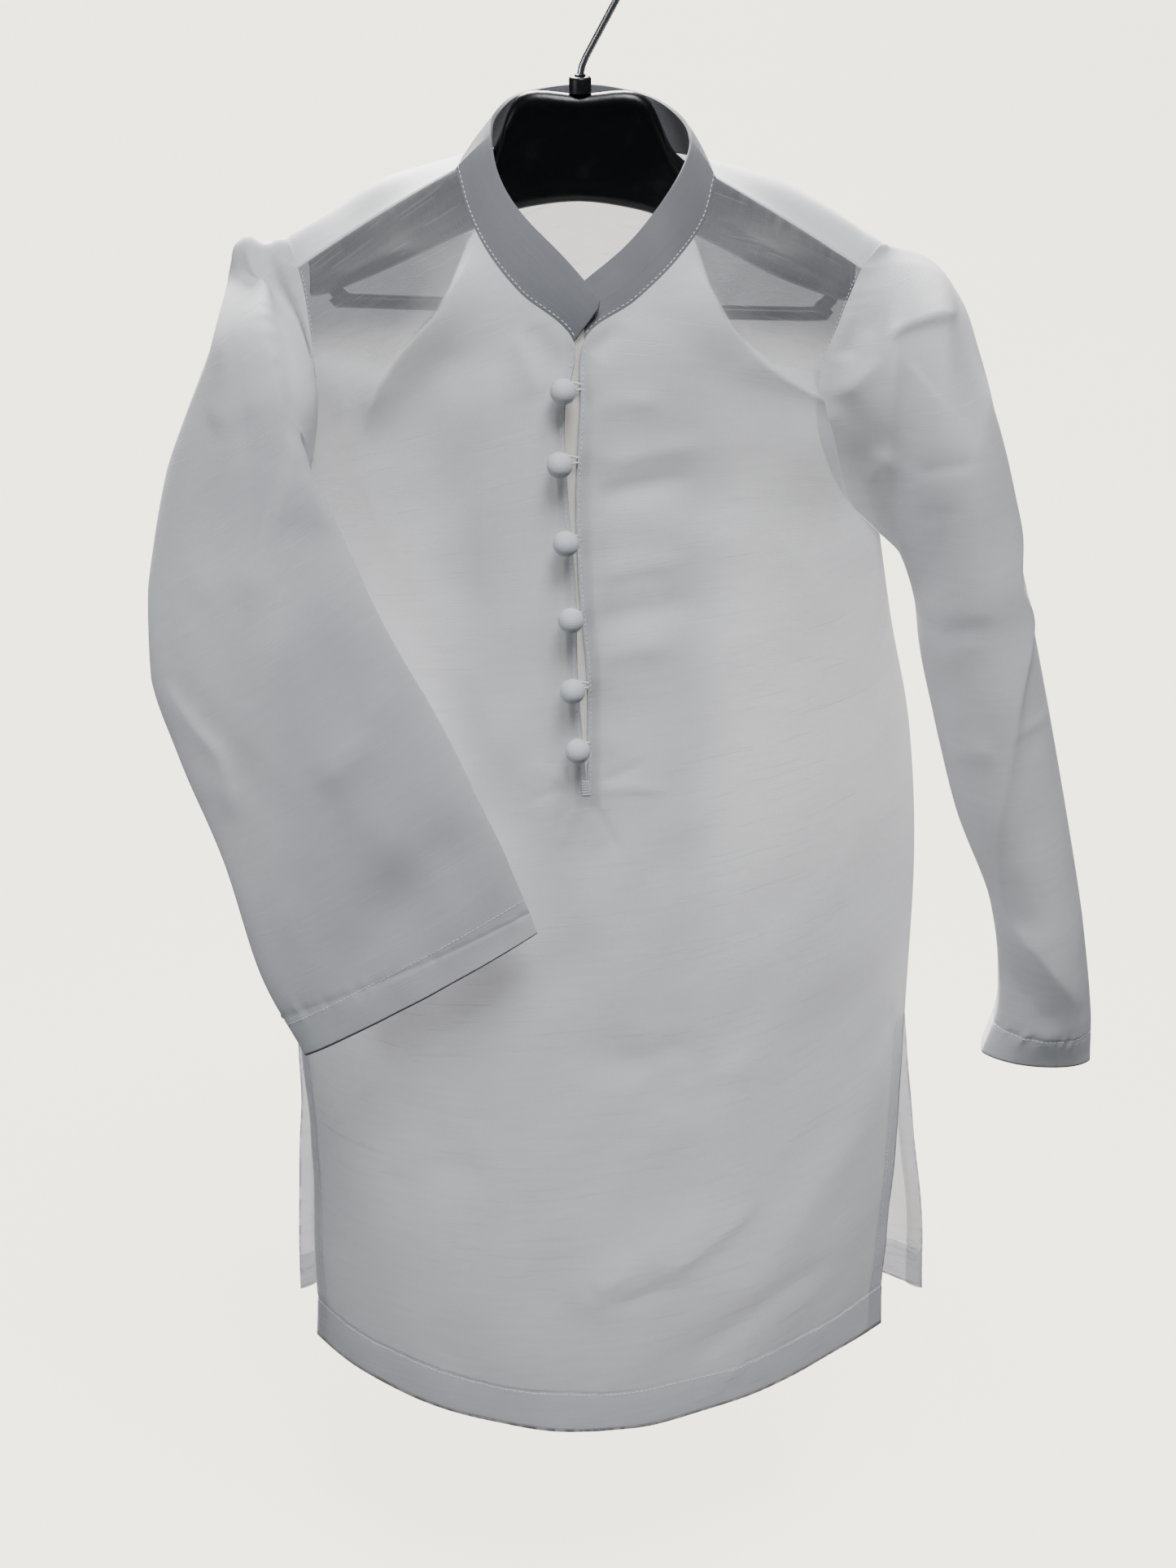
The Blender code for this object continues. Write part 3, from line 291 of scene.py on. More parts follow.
# %% Folds of the front and the back
SOFT_FRONT = (
    # from_x, from_z, to_x, to_z, height, width
    (-5.8, -0.9, -10.0, -6.0, 0.45, 1.4),
    (-2.6, -3.4, -5.8, -4.6, -0.20, 1.2),
    (4.6, -0.6, 8.0, -4.2, 0.35, 1.4),
    (3.4, -9.7, 5.8, -10.2, -0.14, 1.3),
    (3.6, -15.2, 5.8, -16.2, -0.16, 1.4),
    (4.4, -12.4, 7.4, -13.1, 0.18, 1.2),
    (1.6, -41.2, 6.4, -43.4, -0.20, 1.5),
    (0.4, -55.8, 6.2, -51.9, 0.28, 1.3),
    (9.8, -56.4, 15.0, -50.4, 0.35, 1.5),
    (-4.5, -30.0, -9.0, -40.0, 0.25, 1.8),
)
SOFT_BACK = (
    # from_x, from_z, to_x, to_z, height, width
    (-4.5, -2.0, -9.5, -13.0, 0.35, 1.6),
    (5.0, -2.5, 9.0, -11.5, 0.40, 1.5),
    (1.5, -16.0, 4.5, -34.0, -0.25, 1.8),
    (-6.0, -24.0, -3.5, -44.0, 0.30, 1.9),
    (8.0, -30.0, 11.5, -48.0, 0.28, 1.7),
    (-9.0, -50.0, -2.0, -55.5, -0.22, 1.5),
)
FRONT_FOLDS = (
    # height, left, right, power, points
    (0.40, 1.1, 0.55, 1.0, ((-4.9, 0.8), (-5.8, -1.0), (-6.6, -2.2), (-7.7, -3.3), (-8.8, -4.7), (-9.7, -6.3),
                            (-10.6, -8.6))),
    (-0.12, 0.8, 0.9, 2.0, ((-7.2, -0.4), (-9.0, -2.6), (-10.6, -5.2), (-11.6, -7.6))),
    (0.14, 0.9, 0.6, 1.5, ((-3.9, -4.2), (-4.2, -7.5), (-4.5, -10.2), (-4.7, -12.7), (-4.6, -17.0))),
    (0.46, 0.55, 1.4, 1.0, ((4.6, 0.6), (5.6, -0.8), (7.1, -2.9), (8.9, -4.9), (11.4, -7.0), (13.0, -9.6),
                            (14.2, -12.4))),
    (-0.16, 0.9, 0.9, 2.0, ((6.8, -0.8), (8.6, -2.8), (10.2, -4.6))),
    (0.10, 0.6, 0.7, 1.7, ((0.5, -9.1), (3.4, -8.5), (6.5, -8.1))),
    (-0.13, 0.5, 0.7, 2.0, ((0.5, -10.6), (3.0, -10.2), (5.7, -9.9))),
    (0.10, 0.7, 0.7, 1.7, ((0.5, -14.4), (3.0, -14.0), (5.4, -13.9))),
    (-0.16, 0.7, 0.8, 2.0, ((0.5, -16.7), (3.4, -16.3), (5.9, -16.2))),
    (0.10, 0.7, 0.6, 1.7, ((0.6, -18.7), (3.1, -18.2), (5.1, -18.4))),
    (-0.06, 0.20, 0.22, 2.0, ((-0.1, -25.7), (-1.4, -25.9), (-3.0, -26.6))),
    (0.06, 0.22, 0.20, 1.6, ((0.1, -26.1), (-0.6, -27.5), (-1.2, -29.3))),
    (-0.06, 0.20, 0.24, 2.0, ((0.4, -26.2), (1.3, -27.8), (2.1, -29.7))),
    (0.07, 0.26, 0.20, 1.6, ((0.7, -25.7), (2.7, -25.6), (4.6, -26.0))),
    (0.06, 0.20, 0.22, 1.6, ((-0.3, -25.3), (-1.4, -24.8), (-2.7, -24.4))),
    (-0.06, 0.22, 0.26, 2.0, ((0.8, -25.3), (2.3, -24.7), (3.5, -24.0))),
    (-0.10, 0.6, 0.7, 2.0, ((-2.3, -2.6), (-1.6, -3.7), (-0.9, -4.9))),
    (0.07, 0.4, 0.7, 1.6, ((-3.2, -2.8), (-2.4, -4.6), (-1.7, -6.2))),
    (-0.13, 0.55, 0.45, 2.0, ((2.0, -2.5), (1.2, -3.3), (0.6, -4.0))),
    (0.08, 0.50, 0.60, 1.7, ((0.5, -6.4), (2.0, -6.0), (4.2, -6.2))),
    (0.14, 0.7, 0.5, 1.5, ((0.5, -55.3), (1.9, -54.5), (3.3, -53.6))),
    (0.26, 1.3, 0.8, 1.4, ((3.8, -55.0), (5.6, -53.7), (7.4, -52.6), (10.6, -50.6))),
    (-0.20, 1.1, 0.9, 2.0, ((5.4, -61.4), (6.6, -60.8), (9.0, -59.2), (11.7, -57.9), (15.4, -57.4))),
    (-0.10, 0.9, 0.9, 2.0, ((1.4, -42.0), (3.7, -41.2), (6.6, -40.5))),
    (-0.12, 0.5, 0.8, 2.0, ((1.2, -56.4), (3.4, -55.9), (6.1, -54.4))),
    (0.10, 1.0, 0.8, 1.6, ((4.6, -43.7), (7.2, -42.7), (10.4, -42.5))),
    (0.16, 1.3, 1.0, 1.5, ((8.6, -11.6), (11.5, -15.8), (14.4, -21.5), (16.6, -27.9))),
    (0.16, 1.2, 1.5, 1.6, ((-10.9, -44.9), (-8.5, -42.3), (-4.9, -39.0))),
    (-0.12, 1.0, 1.2, 2.0, ((-12.0, -52.0), (-8.6, -49.6), (-4.0, -47.6))),
    (0.09, 0.4, 0.4, 1.5, ((7.4, 0.4), (9.5, -0.7), (11.6, -1.6))),
    (0.07, 0.3, 0.3, 1.5, ((6.8, 1.7), (8.4, 0.4), (10.8, -0.8))),
    (0.08, 0.5, 0.4, 1.5, ((-12.2, -1.8), (-10.2, -0.6), (-7.2, 0.6))),
    (0.05, 0.6, 0.4, 1.5, ((7.7, -63.9), (8.8, -62.2), (9.8, -61.1))),
    (-0.12, 1.4, 1.4, 2.0, ((6.4, -22.0), (9.0, -29.0), (10.6, -38.0))),
    (0.12, 1.5, 1.2, 1.6, ((3.4, -29.0), (5.0, -35.0), (6.2, -41.0))),
)
BACK_FOLDS = (
    # height, left, right, power, points
    (0.20, 1.2, 0.7, 1.3, ((-4.6, 0.4), (-6.4, -3.2), (-8.6, -8.0), (-10.4, -13.6))),
    (0.24, 0.8, 1.3, 1.3, ((5.0, 0.2), (7.0, -3.4), (9.4, -8.4), (11.6, -14.8))),
    (-0.14, 0.9, 0.9, 2.0, ((-1.8, 0.0), (-2.2, -4.6), (-3.0, -9.4))),
    (0.12, 0.9, 0.8, 1.6, ((1.2, -0.4), (1.6, -5.2), (2.6, -11.0), (2.4, -16.0))),
    (-0.16, 1.0, 1.2, 2.0, ((-10.4, -17.0), (-6.4, -20.4), (-1.2, -22.6))),
    (0.14, 1.1, 0.8, 1.5, ((-12.0, -21.4), (-8.4, -24.6), (-4.2, -27.6))),
    (0.16, 0.9, 1.2, 1.5, ((13.0, -19.0), (9.2, -23.4), (5.2, -26.4))),
    (-0.12, 1.2, 1.0, 2.0, ((11.0, -27.0), (8.2, -31.6), (4.4, -35.0))),
    (0.18, 1.2, 0.9, 1.5, ((-10.2, -40.0), (-5.6, -44.6), (0.6, -47.6))),
    (0.16, 0.8, 1.2, 1.4, ((2.0, -57.6), (7.4, -54.4), (12.4, -51.4))),
    (-0.14, 1.1, 1.1, 2.0, ((-12.4, -57.4), (-7.2, -59.6), (-1.8, -60.2))),
    (0.12, 1.0, 0.7, 1.5, ((6.8, -61.8), (11.0, -59.6), (16.0, -58.4))),
    (0.08, 0.5, 0.5, 1.6, ((-11.8, -1.2), (-9.6, 0.0), (-7.4, 1.0))),
    (0.08, 0.5, 0.5, 1.6, ((12.0, -1.6), (9.8, -0.2), (7.8, 0.8))),
)
print("folds drawn on the body:", len(FRONT_FOLDS) + len(BACK_FOLDS))

# %% Folds of the sleeves
RIGHT_SLEEVE_FRONT = (
    # height, left, right, power, points
    (0.38, 0.24, 1.6, 1.0, ((-16.3, 3.4), (-16.1, 1.2), (-15.9, -0.4), (-15.4, -1.7), (-15.0, -3.2),
                            (-14.4, -5.0), (-13.9, -7.0), (-13.1, -9.6), (-11.9, -12.4))),
    (0.20, 1.0, 1.4, 1.4, ((-13.6, -12.1), (-14.8, -17.8), (-16.2, -22.2), (-17.3, -25.7))),
    (-0.07, 1.0, 1.1, 2.0, ((-12.2, -11.3), (-14.0, -14.5), (-16.0, -18.3))),
    (-0.20, 1.8, 1.6, 2.0, ((-5.2, -25.5), (-7.4, -28.5), (-10.0, -32.0), (-13.1, -37.5))),
    (0.20, 0.5, 1.0, 1.3, ((-21.1, -20.9), (-19.4, -22.9), (-18.0, -24.6), (-17.6, -28.2))),
    (-0.06, 1.6, 1.6, 2.0, ((-9.3, -23.5), (-12.8, -27.8), (-16.1, -33.2))),
    (0.07, 0.6, 0.6, 1.6, ((-16.0, -1.0), (-16.8, -3.2), (-17.4, -5.8))),
    (-0.19, 0.6, 0.35, 2.0, ((-15.6, 1.4), (-15.3, -0.6), (-14.8, -2.0), (-14.3, -3.6), (-13.7, -5.4),
                             (-13.2, -7.2))),
    (0.08, 0.6, 0.7, 1.6, ((-18.2, -7.9), (-16.0, -6.7), (-14.3, -5.6))),
    (0.08, 1.2, 1.4, 1.8, ((-19.6, -16.4), (-16.8, -15.0), (-14.0, -15.4))),
    (0.10, 1.0, 0.8, 1.6, ((-13.2, -25.4), (-10.6, -22.4), (-9.4, -19.0))),
)
RIGHT_SLEEVE_BACK = (
    # height, left, right, power, points
    (0.18, 0.9, 0.7, 1.4, ((-21.0, -20.6), (-18.2, -22.4), (-15.6, -24.2))),
    (-0.16, 0.8, 0.8, 2.0, ((-20.4, -23.6), (-17.4, -25.0), (-14.8, -26.2))),
    (0.14, 0.7, 0.8, 1.5, ((-17.0, -5.0), (-18.2, -9.4), (-19.8, -14.2))),
    (0.12, 0.9, 0.9, 1.6, ((-17.6, -31.0), (-13.4, -32.4), (-9.4, -31.6))),
)
LEFT_SLEEVE_FRONT = (
    # height, left, right, power, points
    (0.34, 1.3, 0.22, 1.0, ((14.4, -4.4), (15.2, -3.8), (16.0, -3.5), (17.2, -3.3), (18.6, -3.4))),
    (0.36, 0.20, 1.7, 1.0, ((12.2, -7.0), (13.3, -5.8), (14.2, -5.0), (14.8, -4.1), (15.6, -3.6))),
    (-0.20, 0.7, 0.5, 2.0, ((12.5, -5.3), (13.3, -4.2), (14.2, -3.3), (15.0, -2.3))),
    (0.30, 0.4, 1.0, 1.2, ((15.3, -3.2), (15.2, -5.0), (15.2, -8.1), (15.3, -12.2))),
    (0.14, 0.5, 0.8, 1.4, ((14.0, -11.9), (14.6, -10.4), (15.3, -9.3))),
    (0.50, 0.45, 2.2, 1.0,
     ((19.3, -4.4), (20.1, -7.8), (21.2, -12.0), (21.5, -14.2), (21.6, -16.5), (22.4, -18.7), (22.2, -22.1),
      (22.2, -26.2), (22.2, -29.2), (22.4, -32.5), (22.9, -35.4), (23.5, -37.1))),
    (-0.07, 0.5, 0.3, 1.6, ((16.2, -10.8), (17.7, -10.1), (19.6, -9.7))),
    (-0.05, 0.5, 0.3, 1.6, ((16.7, -13.2), (17.6, -12.7), (18.8, -12.4))),
    (0.26, 0.9, 0.9, 1.4, ((23.2, -36.0), (25.2, -38.2), (27.8, -42.4))),
    (-0.22, 0.9, 0.8, 2.0, ((22.8, -39.2), (24.6, -41.0), (26.2, -43.6))),
    (0.07, 0.4, 0.4, 1.6, ((21.9, -24.3), (23.4, -24.2), (24.6, -24.6))),
    (-0.10, 0.6, 0.8, 2.0, ((17.9, -19.8), (19.4, -18.6), (21.0, -18.2))),
    (0.10, 0.8, 0.8, 1.6, ((19.4, -26.8), (20.6, -25.6), (21.8, -25.2))),
)
LEFT_SLEEVE_BACK = (
    # height, left, right, power, points
    (0.20, 0.8, 0.7, 1.4, ((17.6, -19.4), (19.8, -20.8), (22.6, -21.0))),
    (-0.16, 0.7, 0.8, 2.0, ((18.4, -22.4), (20.8, -23.4), (23.4, -23.2))),
    (0.18, 0.9, 0.8, 1.4, ((15.2, -3.0), (17.4, -8.0), (19.4, -14.4))),
    (0.14, 0.9, 0.9, 1.5, ((22.0, -30.0), (24.2, -33.4), (26.4, -38.6))),
)
print("folds drawn on the sleeves:", len(RIGHT_SLEEVE_FRONT) + len(LEFT_SLEEVE_FRONT)
      + len(RIGHT_SLEEVE_BACK) + len(LEFT_SLEEVE_BACK))

# %% [markdown]
# ## Tools for cloth
#
# Cloth is held here as grids of points: rows run across it, as the weft does, and columns
# run down it, as the warp does. A grid can be measured, folded and hemmed with a few lines
# of array maths, and it turns into a mesh only at the end. The flat place of every point
# goes into a UV map in metres, so that the weave keeps its size and follows each fold.

# %% Curves through a table
FINE = 8


def curve_at(points, places, corners=()):
    """Smooth curve through a table's rows, read at any places along them."""
    points = np.asarray(points, float)
    places = np.asarray(places, float)
    result = np.zeros((len(places), points.shape[1]))
    stops = [0, *corners, len(points) - 1]
    for start, stop in zip(stops, stops[1:]):
        inside = (places >= start) & (places <= stop)
        part = points[start:stop + 1]
        part = np.vstack([2 * part[0] - part[1], part, 2 * part[-1] - part[-2]])
        span = np.minimum((places[inside] - start).astype(int), stop - start - 1)
        f = (places[inside] - start - span)[:, None]
        a, b, c, d = (part[span + k] for k in range(4))
        result[inside] = 0.5 * (2 * b + (c - a) * f + (2 * a - 5 * b + 4 * c - d) * f ** 2
                                + (3 * b - a - 3 * c + d) * f ** 3)
    return result


def unit(vectors):
    """Vectors scaled to length one."""
    return vectors / np.maximum(np.linalg.norm(vectors, axis=-1, keepdims=True), 1e-9)


def smooth(values):
    """Soft step from 0 to 1."""
    values = np.clip(values, 0, 1)
    return values * values * (3 - 2 * values)


def arc(points, axis=0):
    """Length along a line or along one side of a grid of points."""
    steps = np.linalg.norm(np.diff(points, axis=axis), axis=-1)
    start = np.zeros_like(np.take(steps, [0], axis=axis))
    return np.concatenate([start, np.cumsum(steps, axis=axis)], axis=axis)


def normals_of(grid, toward, closed=False):
    """Unit normals of a grid, on the side that toward points to."""
    if closed:
        across = np.roll(grid, -1, axis=1) - np.roll(grid, 1, axis=1)
    else:
        across = np.gradient(grid, axis=1)
    normal = unit(np.cross(np.gradient(grid, axis=0), across))
    return normal * np.sign(np.sum(normal * toward))


# %% Folds and waves on a grid
def add_folds(grid, flat, push, folds, strength=1.0):
    """Raise drawn folds on a grid. Left is the hand to the left of a line's own direction."""
    for height, left, right, power, points in folds:
        line = curve_at(points, np.linspace(0, len(points) - 1, 5 * len(points)))
        reach = 3.2 * max(left, right)
        lowest, highest = line.min(axis=0) - reach, line.max(axis=0) + reach
        near = np.all((flat > lowest) & (flat < highest), axis=-1)
        spots = flat[near]
        length = arc(line)
        best = np.full(len(spots), np.inf)
        side = np.zeros(len(spots))
        along = np.zeros(len(spots))
        for a, b, start in zip(line, line[1:], length):
            step = b - a
            share = np.clip((spots - a) @ step / (step @ step), 0, 1)
            off = spots - a - share[:, None] * step
            distance = np.linalg.norm(off, axis=1)
            closer = distance < best
            best[closer] = distance[closer]
            side[closer] = (step[0] * off[:, 1] - step[1] * off[:, 0])[closer]
            along[closer] = (start + share * np.linalg.norm(step))[closer]
        width = np.where(side > 0, left, right)
        along /= length[-1]
        taper = smooth(along / 0.28 + 0.06) * smooth((1 - along) / 0.34 + 0.04)
        uneven = 1 + 0.22 * np.sin(9 * along + 3 * points[0][0]) * np.sin(4.1 * along + points[0][1])
        rise = height * uneven * taper * np.exp(-(best / width) ** power)
        amount = strength if np.isscalar(strength) else strength[near]
        grid[near] += push[near] * (rise * amount)[:, None]


def waves(flat, seed, shortest, longest, count=9):
    """Low uneven waves: a few crossing ripples, bent by each other."""
    rng = np.random.default_rng(seed)
    x, z = flat[..., 0], flat[..., 1]
    total = np.zeros(flat.shape[:-1])
    for _ in range(count):
        turn = rng.uniform(0, math.pi)
        wave = 2 * math.pi / rng.uniform(shortest, longest)
        bend = 0.6 * np.sin(x * wave * 0.37 + rng.uniform(0, 6)) * np.cos(z * wave * 0.29)
        total += np.sin(wave * (x * math.cos(turn) + z * math.sin(turn)) + 2 * bend + rng.uniform(0, 6))
    return total / math.sqrt(count / 2)


def puckers(length, seed, shortest=0.5, longest=1.7):
    """Uneven gathers along a row of stitches."""
    rng = np.random.default_rng(seed)
    total = np.zeros_like(length)
    for _ in range(5):
        wave = 2 * math.pi / rng.uniform(shortest, longest)
        swell = 0.5 + 0.5 * np.sin(length * wave * 0.23 + rng.uniform(0, 6))
        total += swell * np.sin(length * wave + rng.uniform(0, 6))
    return total / 2


# %% [markdown]
# ## From grids to meshes
#
# A sheet of cloth is one open layer of faces. It could be given a second layer, but real
# cloth of this kind is a quarter of a millimetre thick and lets light through, and that
# looks right only where light passes one layer at a time. Where the real cloth is turned in
# at a hem, the sheet has a second grid inside it, joined to it along the fold. Each point also
# carries two numbers for the material: how far the cloth shows what is behind it there, and
# how far light from behind makes it glow.

# %% A sheet of cloth
class Cloth:
    """Grids of points in centimetres that become one piece of cloth."""

    def __init__(self, name):
        self.name = name
        self.points = []
        self.flats = []
        self.sheer = []
        self.glow = []
        self.faces = []
        self.count = 0

    def add(self, grid, flat, sheer=0.0, flip=False, glow=1.0):
        """Add a grid, its flat places, how far it shows what is behind, and how far it glows."""
        rows, columns = grid.shape[:2]
        ids = np.arange(rows * columns).reshape(rows, columns)
        if flip:
            ids = ids[:, ::-1]
        quads = np.stack([ids[:-1, :-1], ids[1:, :-1], ids[1:, 1:], ids[:-1, 1:]], axis=-1).reshape(-1, 4)
        self.points.append(grid.reshape(-1, 3))
        self.flats.append(flat.reshape(-1, 2))
        self.sheer.append(np.broadcast_to(sheer, (rows, columns)).ravel())
        self.glow.append(np.broadcast_to(glow, (rows, columns)).ravel())
        self.faces.append(quads + self.count)
        self.count += rows * columns

    def build(self, material):
        """One mesh with a UV map called weave, in metres."""
        placed = (np.vstack(self.points) - (0, 0, HOOK_DROP)) * CM
        quads = np.vstack(self.faces)
        mesh = bpy.data.meshes.new(self.name)
        mesh.from_pydata(placed.tolist(), [], quads.tolist())
        layer = mesh.uv_layers.new(name="weave")
        layer.data.foreach_set("uv", (np.vstack(self.flats) * CM)[quads].ravel())
        for title, values in (("sheer", self.sheer), ("glow", self.glow)):
            layer = mesh.attributes.new(title, "FLOAT", "POINT")
            layer.data.foreach_set("value", np.concatenate(values))
        work = bmesh.new()
        work.from_mesh(mesh)
        bmesh.ops.remove_doubles(work, verts=work.verts, dist=1e-6)
        work.to_mesh(mesh)
        work.free()
        mesh.shade_smooth()
        mesh.materials.append(material)
        made = bpy.data.objects.new(self.name, mesh)
        scene.collection.objects.link(made)
        area = sum(face.area for face in mesh.polygons)
        print(f"{self.name}: {len(mesh.polygons)} faces, {area:.3f} square metres")
        return made


def turned_in(grid, normal, deepest=0.10):
    """Cloth folded back inside from the first row of a grid, loose at first and sewn down at its end."""
    depth = arc(grid).mean(axis=1)
    share = np.clip(depth / depth[-1], 0, 1)
    gap = deepest * np.sin(math.pi * share) ** 0.6 + 0.03 * share
    return grid - normal * gap[:, None, None]


# %% [markdown]
# ## Nodes written as sums
#
# A weave needs a good deal of arithmetic. One small class wraps a socket, so that adding or
# multiplying two of them adds the Math node for it, and every other node comes from one
# method. The formulas can then be read as formulas.

# %% Sockets that can be calculated with
class Wire:
    """A socket of a material's nodes."""

    def __init__(self, tree, socket=None):
        self.tree = tree
        self.socket = socket

    def node(self, kind, settings=None, inputs=None, output=0):
        """Add a node, set it up, feed its sockets and give one of its outputs."""
        made = self.tree.nodes.new(kind)
        for name, value in (settings or {}).items():
            if name == "stops":
                ramp = made.color_ramp.elements
                while len(ramp) < len(value):
                    ramp.new(0.5)
                for stop, (place, colour) in zip(ramp, value):
                    stop.position = place
                    stop.color = colour
            else:
                setattr(made, name, value)
        for name, value in (inputs or {}).items():
            if isinstance(value, Wire):
                self.tree.links.new(value.socket, made.inputs[name])
            else:
                made.inputs[name].default_value = value
        return Wire(self.tree, made.outputs[output])

    def maths(self, operation, *values):
        """One Math node."""
        return self.node("ShaderNodeMath", {"operation": operation}, dict(enumerate(values)))

    def __add__(self, other):
        return self.maths("ADD", self, other)

    def __sub__(self, other):
        return self.maths("SUBTRACT", self, other)

    def __rsub__(self, other):
        return self.maths("SUBTRACT", other, self)

    def __mul__(self, other):
        return self.maths("MULTIPLY", self, other)

    def __truediv__(self, other):
        return self.maths("DIVIDE", self, other)

    def __rtruediv__(self, other):
        return self.maths("DIVIDE", other, self)

    __radd__ = __add__
    __rmul__ = __mul__

    def floor(self):
        """Whole part."""
        return self.maths("FLOOR", self)

    def fraction(self):
        """What is left after the whole part."""
        return self.maths("FRACT", self)

    def sine(self):
        """Sine."""
        return self.maths("SINE", self)

    def step(self, start, stop):
        """Soft step from 0 at start to 1 at stop."""
        return self.node("ShaderNodeMapRange", {"interpolation_type": "SMOOTHSTEP"},
                         {"Value": self, "From Min": start, "From Max": stop})

    def mix(self, first, second):
        """First colour where this is 0, second where it is 1."""
        return self.node("ShaderNodeMix", {"data_type": "RGBA"},
                         {"Factor": self, 6: first, 7: second}, 2)


def new_material(name):
    """A material with an empty node tree, and a Wire to build it with."""
    material = bpy.data.materials.new(name)
    material.use_nodes = True
    material.node_tree.nodes.clear()
    return material, Wire(material.node_tree)


def finish(net, shader):
    """Send a shader to the output."""
    made = net.tree.nodes.new("ShaderNodeOutputMaterial")
    net.tree.links.new(shader.socket, made.inputs["Surface"])


# %% [markdown]
# ## The cloth
#
# The real cloth has fine ribs across it, 0.8 mm apart, and slubs: thicker places of single
# threads, a few centimetres long, that run with the ribs. It has a slight sheen and lets
# light through. A photograph of the weave would be an image, so the threads are worked out
# instead. The flat place divided by the pitch gives the number of a thread, and noise that is
# different for each number, and long along the thread, gives its slubs. Where the cloth lies
# on black plastic, less light comes back through it, so its colour is darkened there with
# painted shade. The collar has stiffening inside and stands in its own shade, so its darker
# colour is painted shade on the same white cloth.

# %% Cloth material
RIB = 0.0008


def cloth_material(name, colour, through, see_through, rib=RIB, relief=1.0):
    """Ribbed, slubbed cloth that lets some light through and shows a little of what is behind, darkened with
    painted shade where it shows the most.
    """
    material, net = new_material(name)
    place = net.node("ShaderNodeUVMap", {"uv_map": "weave"})
    x = net.node("ShaderNodeSeparateXYZ", None, {"Vector": place}, 0)
    y = net.node("ShaderNodeSeparateXYZ", None, {"Vector": place}, 1)
    wander = net.node("ShaderNodeTexNoise", {"noise_dimensions": "2D"},
                      {"Vector": place, "Scale": 35.0, "Detail": 1.0})
    thread = y / rib + (wander - 0.5) * 1.2
    number = thread.floor()
    across = thread.fraction()
    ribs = (across * math.pi).sine()
    along = net.node("ShaderNodeCombineXYZ", None, {"X": x * 20.0, "Y": number * 7.31})
    streak = net.node("ShaderNodeTexNoise", {"noise_dimensions": "2D"},
                      {"Vector": along, "Scale": 1.0, "Detail": 1.0})
    chance = net.node("ShaderNodeTexWhiteNoise", {"noise_dimensions": "1D"}, {"W": number})
    slub = (streak + chance * 0.13).step(0.745, 0.80)
    fine = net.node("ShaderNodeCombineXYZ", None, {"X": x * 1600.0, "Y": y * 160.0})
    warp = net.node("ShaderNodeTexNoise", {"noise_dimensions": "2D"},
                    {"Vector": fine, "Scale": 1.0, "Detail": 1.0})
    bands = net.node("ShaderNodeCombineXYZ", None, {"X": x * 30.0, "Y": y * 260.0})
    dense = net.node("ShaderNodeTexNoise", {"noise_dimensions": "2D"},
                     {"Vector": bands, "Scale": 1.0, "Detail": 2.0})
    shows = net.node("ShaderNodeAttribute", {"attribute_name": "sheer"}, None, 2)
    # painted shade: where the cloth shows most of what is behind, over the black hanger, its colour is
    # darkened
    painted_hanger_shade = shows.step(0.55, 0.95)
    shade = 0.94 - painted_hanger_shade * 0.58 + (warp - 0.5) * 0.05 + (dense - 0.5) * 0.09 + ribs * 0.02 + slub * 0.04
    tint = net.node("ShaderNodeMix", {"data_type": "RGBA", "blend_type": "MULTIPLY"},
                    {"Factor": 1.0, 6: (*colour, 1.0), 7: net.node("ShaderNodeCombineColor", None, {
                        "Red": shade, "Green": shade, "Blue": shade})}, 2)
    height = (ribs * 0.10 + slub * 0.22 + warp * 0.05 + dense * 0.04) * relief
    bump = net.node("ShaderNodeBump", None, {"Height": height, "Distance": 0.0006, "Strength": 0.8})
    face = net.node("ShaderNodeBsdfPrincipled", None, {
        "Base Color": tint, "Roughness": 0.58 - ribs * 0.08 + warp * 0.06, "Specular IOR Level": 0.22,
        "Sheen Weight": 0.06, "Sheen Roughness": 0.4, "Sheen Tint": (0.92, 0.95, 1.0, 1.0), "Normal": bump})
    glow = net.node("ShaderNodeBsdfTranslucent", None, {"Color": tint, "Normal": bump})
    if not through:
        finish(net, face)
        return material
    share = net.node("ShaderNodeAttribute", {"attribute_name": "glow"}, None, 2)
    lit = net.node("ShaderNodeMixShader", None, {
        "Fac": share * (1 - slub * 0.25) * through, 1: face, 2: glow})
    if not see_through:
        finish(net, lit)
        return material
    open_share = shows * see_through * (1 - ribs * 0.2) * (1 - slub * 0.2)
    clear = net.node("ShaderNodeBsdfTransparent", None, {"Color": (0.96, 0.97, 1.0, 1.0)})
    finish(net, net.node("ShaderNodeMixShader", None, {"Fac": open_share, 1: lit, 2: clear}))
    return material


white_cloth = cloth_material("white_slub_cloth", (0.80, 0.80, 0.82), 0.15, 0.50)
# painted shade: the collar is white cloth, but its colour is set dark for the shade it stands in
collar_cloth = cloth_material("collar_cloth_painted_shade", (0.215, 0.215, 0.230), 0.03, 0.0, relief=0.8)
trim_cloth = cloth_material("cream_underlap_cloth", (0.80, 0.77, 0.70), 0.30, 0.0)
button_cloth = cloth_material("button_cover_cloth", (0.84, 0.85, 0.89), 0.0, 0.0, relief=2.4)
print("cloth ribs", RIB * 1000, "mm apart")

# %% Thread material
thread_material, net = new_material("white_thread")
spot = net.node("ShaderNodeTexCoord", None, None, 3)
fuzz = net.node("ShaderNodeTexNoise", None, {"Vector": spot, "Scale": 2600.0, "Detail": 1.0})
thread_bump = net.node("ShaderNodeBump", None, {"Height": fuzz, "Distance": 0.0002, "Strength": 0.5})
finish(net, net.node("ShaderNodeBsdfPrincipled", None, {
    "Base Color": fuzz.mix((0.80, 0.80, 0.82, 1.0), (0.95, 0.95, 0.96, 1.0)),
    "Roughness": 0.45 + fuzz * 0.2, "Sheen Weight": 0.2, "Normal": thread_bump}))
print("thread material ready")

